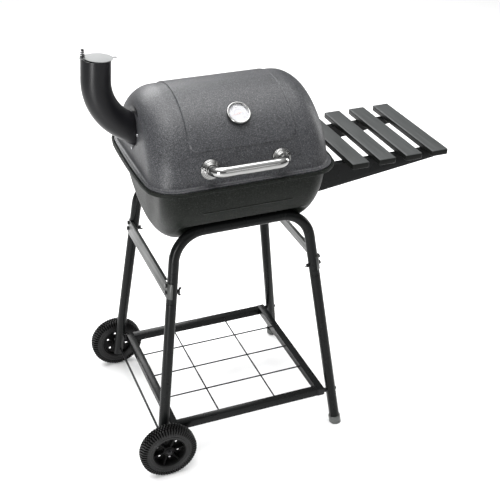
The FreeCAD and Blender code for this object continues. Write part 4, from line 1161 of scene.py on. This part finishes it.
def build_tyre(side_y, name, body):
    profile = tyre_profile()
    columns = LUGS * 10
    normals = []
    for i in range(len(profile)):
        a, b = profile[max(0, i - 1)], profile[min(len(profile) - 1, i + 1)]
        run = Vector((b[0] - a[0], b[1] - a[1])).normalized()
        normals.append((run.y, -run.x))
    rings = []
    for turn in circle(columns):
        ring = []
        for (r, w), (nr, nw) in zip(profile, normals):
            depth = tread_depth(r, w, turn)
            ring.append(wheel_point(side_y, r - nr * depth, w - nw * depth, turn))
        ring.append(wheel_point(side_y, 44.0, 17.0, turn))
        rings.append(ring)
    tyre = add_piece(name + "_visual", *loft(rings, closed=True), "tyre", body, [name])
    # Faces at the bottom of the tread get the darker material, a painted shade in the grooves.
    paint_where(tyre, "tyre_groove", lambda centre, normal: in_groove(centre))


def in_groove(p):
    """Whether a point of a tyre lies at the bottom of its tread."""
    x, z = p.x - AXLE_X, p.z - AXLE_Z
    w = abs(p.y) - WHEEL_INNER_Y
    on_tread = 3.0 < w < WHEEL_WIDTH - 3.0
    r = WHEEL_RADIUS if on_tread else math.hypot(x, z) + 1.5
    return tread_depth(r, w, math.atan2(z, x) % (2 * math.pi)) > 1.6


def wheel_point(side_y, r, w, turn):
    """Point of a wheel: w is the distance out from its inner face, turn the angle in the XZ plane."""
    return Vector((AXLE_X + r * math.cos(turn), side_y * (WHEEL_INNER_Y + w), AXLE_Z + r * math.sin(turn)))


def wheel_lathe(side_y, profile, segments):
    rings = []
    for turn in circle(segments):
        rings.append([wheel_point(side_y, r, w, turn) for r, w in profile])
    return loft(rings, closed=True)


def build_rim(side_y, name, body):
    """Moulded rim: hub, dished disc, band with a stepped lip, and ribs that widen into the hub."""
    hub = softened([(3.1, -2.0), (12.8, -2.0, 0.8), (15.0, 12.0, 1.5), (14.0, 25.6, 1.2), (10.5, 26.0, 0.6),
                    (10.0, 24.6, 0.4), (3.1, 24.6)], 0.6, closed=True)
    disc = softened([(12.0, 13.0), (42.0, 10.0), (42.0, 13.0), (12.0, 16.0)], 0.5, closed=True)
    band = softened([(40.5, 3.0, 0.6), (44.2, 3.0, 0.5), (44.2, 30.0, 0.3), (44.2, 31.2, 0.8), (41.6, 31.2, 1.2),
                     (40.2, 27.0, 0.8), (39.6, 14.0, 1.5), (40.5, 9.0, 0.8)], 0.6, closed=True)
    parts = [wheel_lathe(side_y, profile, 96) for profile in (hub, band)]
    tools = []
    for k in range(6):
        turn = math.radians(RIM_TURN + 60 * k)
        parts.append(rim_rib(side_y, turn))
        mid = turn + math.radians(30)
        rings = [[wheel_point(side_y, 29, w, mid) + wheel_point(side_y, 3.5, w, a) - wheel_point(side_y, 0, w, 0)
                  for a in circle(24)] for w in (5, 20)]
        tools.append(loft(rings))
    add_piece(name + "_visual", *merged(parts), "wheel_plastic", body, [name])
    cut_by(add_piece(name + "_disc", *wheel_lathe(side_y, disc, 96), "wheel_plastic", body), tools)


def rim_rib(side_y, turn):
    """One rib from the hub to the band, with a rounded crest."""
    out = Vector((math.cos(turn), 0, math.sin(turn)))
    across = Vector((-math.sin(turn), 0, math.cos(turn)))
    rings = []
    for r, high, half in ((13.0, 24.0, 1.9), (20.0, 25.2, 1.5), (34.0, 26.4, 1.4), (40.4, 27.6, 1.7)):
        ring = []
        for a, w in ((-half - 0.3, 11.5), (half + 0.3, 11.5), (half, high - 0.8), (half - 0.6, high - 0.1),
                     (-half + 0.6, high - 0.1), (-half, high - 0.8)):
            ring.append(wheel_point(side_y, 0, w, 0) + out * r + across * a)
        rings.append(ring)
    return loft(rings)


# ---- Side table ----
def build_slats():
    for number in range(1, 5):
        name = "table_slat_%d" % number
        low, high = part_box(name)
        low = ((low.x - CENTRE_X) / MM, low.y / MM, low.z / MM)
        high = ((high.x - CENTRE_X) / MM, high.y / MM, high.z / MM)
        slat = add_piece(name + "_visual", *rounded_box(low, high, 2.6, 4), "slat_paint", "root", [name])
        # Side and under faces get the darker material, a painted shade on boards painted the same all round.
        paint_where(slat, "slat_side", lambda centre, normal: normal.z < 0.3)


# ---- Build ----
build_lid()
build_bowl()
build_chimney()
build_spring()
build_handle()
build_thermometer()
for sign, place in ((-1, "front"), (1, "rear")):
    build_u_tube(sign, "u_tube_" + place)
    build_leg(-1, sign, "leg_%s_left" % place)
    build_leg(1, sign, "leg_%s_right" % place)
    build_tyre(sign, "tyre_" + place, place + "_wheel")
    build_rim(sign, "wheel_rim_" + place, place + "_wheel")
build_foot_caps()
build_slats()

DRESSED = {
    "zinc": ["bowl_screws", "air_shutter", "shutter_rivet", "handle_screws", "thermometer_nut", "chimney_screws",
             "lid_hinge_screws", "hinge_pins", "slat_screws"],
    "black_zinc": ["bracket_bolts", "damper_bolt", "brace_bolts", "wing_nuts", "shelf_bolts", "axle_rod"],
    "black_paint": ["grate_clips", "bowl_hinges", "lid_hinges", "table_bracket_front", "table_bracket_rear",
                    "shelf_rail_right", "shelf_rail_left", "shelf_rail_front", "shelf_rail_rear"],
    "brace_paint": ["brace_right", "brace_left"],
    "cap_plastic": ["rail_plugs", "shelf_spacers"],
    "wire_black": ["shelf_wires"],
    "grate_chrome": ["cooking_grate"],
    "grate_black": ["charcoal_grate"],
    "damper_steel": ["chimney_damper"],
}
for slot_name, members in DRESSED.items():
    for member in members:
        dress(member, slot_name)
for member in ("axle_washers", "axle_nuts"):
    dress(member, "black_zinc")


# ---- Stage ----
def add_light(name, place, target, size, power):
    data = bpy.data.lights.new(name, "AREA")
    data.shape = "RECTANGLE"
    data.size, data.size_y = size
    data.energy = power
    light = add_object(name, data)
    light.location = place
    light.rotation_euler = (Vector(target) - Vector(place)).to_track_quat("-Z", "Y").to_euler()


def add_floor():
    mesh = bpy.data.meshes.new("floor")
    half = 14.0
    mesh.from_pydata([(-half, -half, 0), (half, -half, 0), (half, half, 0), (-half, half, 0)], [], [(0, 1, 2, 3)])
    floor = add_object("floor", mesh)
    material, tree, shader = new_material("floor")
    cloud = add_noise(tree, 1.5, 2.0)
    tree.links.new(add_ramp(tree, cloud, [(0.3, 0.92), (0.7, 0.95)]), shader.inputs["Base Color"])
    shader.inputs["Roughness"].default_value = 0.9
    shader.inputs["Specular IOR Level"].default_value = 0.1
    mesh.materials.append(material)


def add_world():
    """Studio surround: dim walls under a bright ceiling."""
    world = bpy.data.worlds.new("studio")
    world.use_nodes = True
    tree = world.node_tree
    background = tree.nodes["Background"]
    coords = tree.nodes.new("ShaderNodeTexCoord")
    split = tree.nodes.new("ShaderNodeSeparateXYZ")
    tree.links.new(coords.outputs["Generated"], split.inputs["Vector"])
    walls = add_ramp(tree, split.outputs["Z"], [(0.0, 0.10), (0.45, 0.28), (0.8, 1.0)])
    tree.links.new(walls, background.inputs["Color"])
    background.inputs["Strength"].default_value = 1.0
    bpy.context.scene.world = world


def add_camera():
    data = bpy.data.cameras.new("camera")
    data.sensor_width = 36.0
    data.lens = 70.69
    camera = add_object("camera", data)
    yaw, pitch, roll = (math.radians(a) for a in (21.899, 30.525, 0.672))
    forward = Vector((math.sin(yaw) * math.cos(pitch), math.cos(yaw) * math.cos(pitch), -math.sin(pitch)))
    right = Vector((math.cos(yaw), -math.sin(yaw), 0))
    up = right.cross(forward)
    turned_right = right * math.cos(roll) + up * math.sin(roll)
    turned_up = up * math.cos(roll) - right * math.sin(roll)
    basis = Matrix((turned_right, turned_up, -forward)).transposed().to_4x4()
    camera.matrix_world = Matrix.Translation((-0.8762, -2.1052, 1.7996)) @ basis
    bpy.context.scene.camera = camera


add_floor()
add_world()
add_light("top", (-0.3, 0.3, 3.4), (-0.1, 0.0, 0.6), (3.0, 2.4), 130)
add_light("back", (-0.6, 3.0, 2.6), (-0.1, 0.0, 0.9), (2.6, 1.0), 100)
add_light("left", (-1.85, -1.6, 0.75), (-0.2, 0.0, 0.75), (0.45, 1.4), 40)
add_light("right", (2.6, 0.5, 1.3), (-0.1, 0.0, 0.8), (0.8, 1.6), 24)
add_light("front", (0.6, -3.2, 1.6), (-0.1, 0.0, 0.6), (1.2, 1.2), 6)
add_camera()
bpy.context.scene.view_settings.view_transform = "Standard"
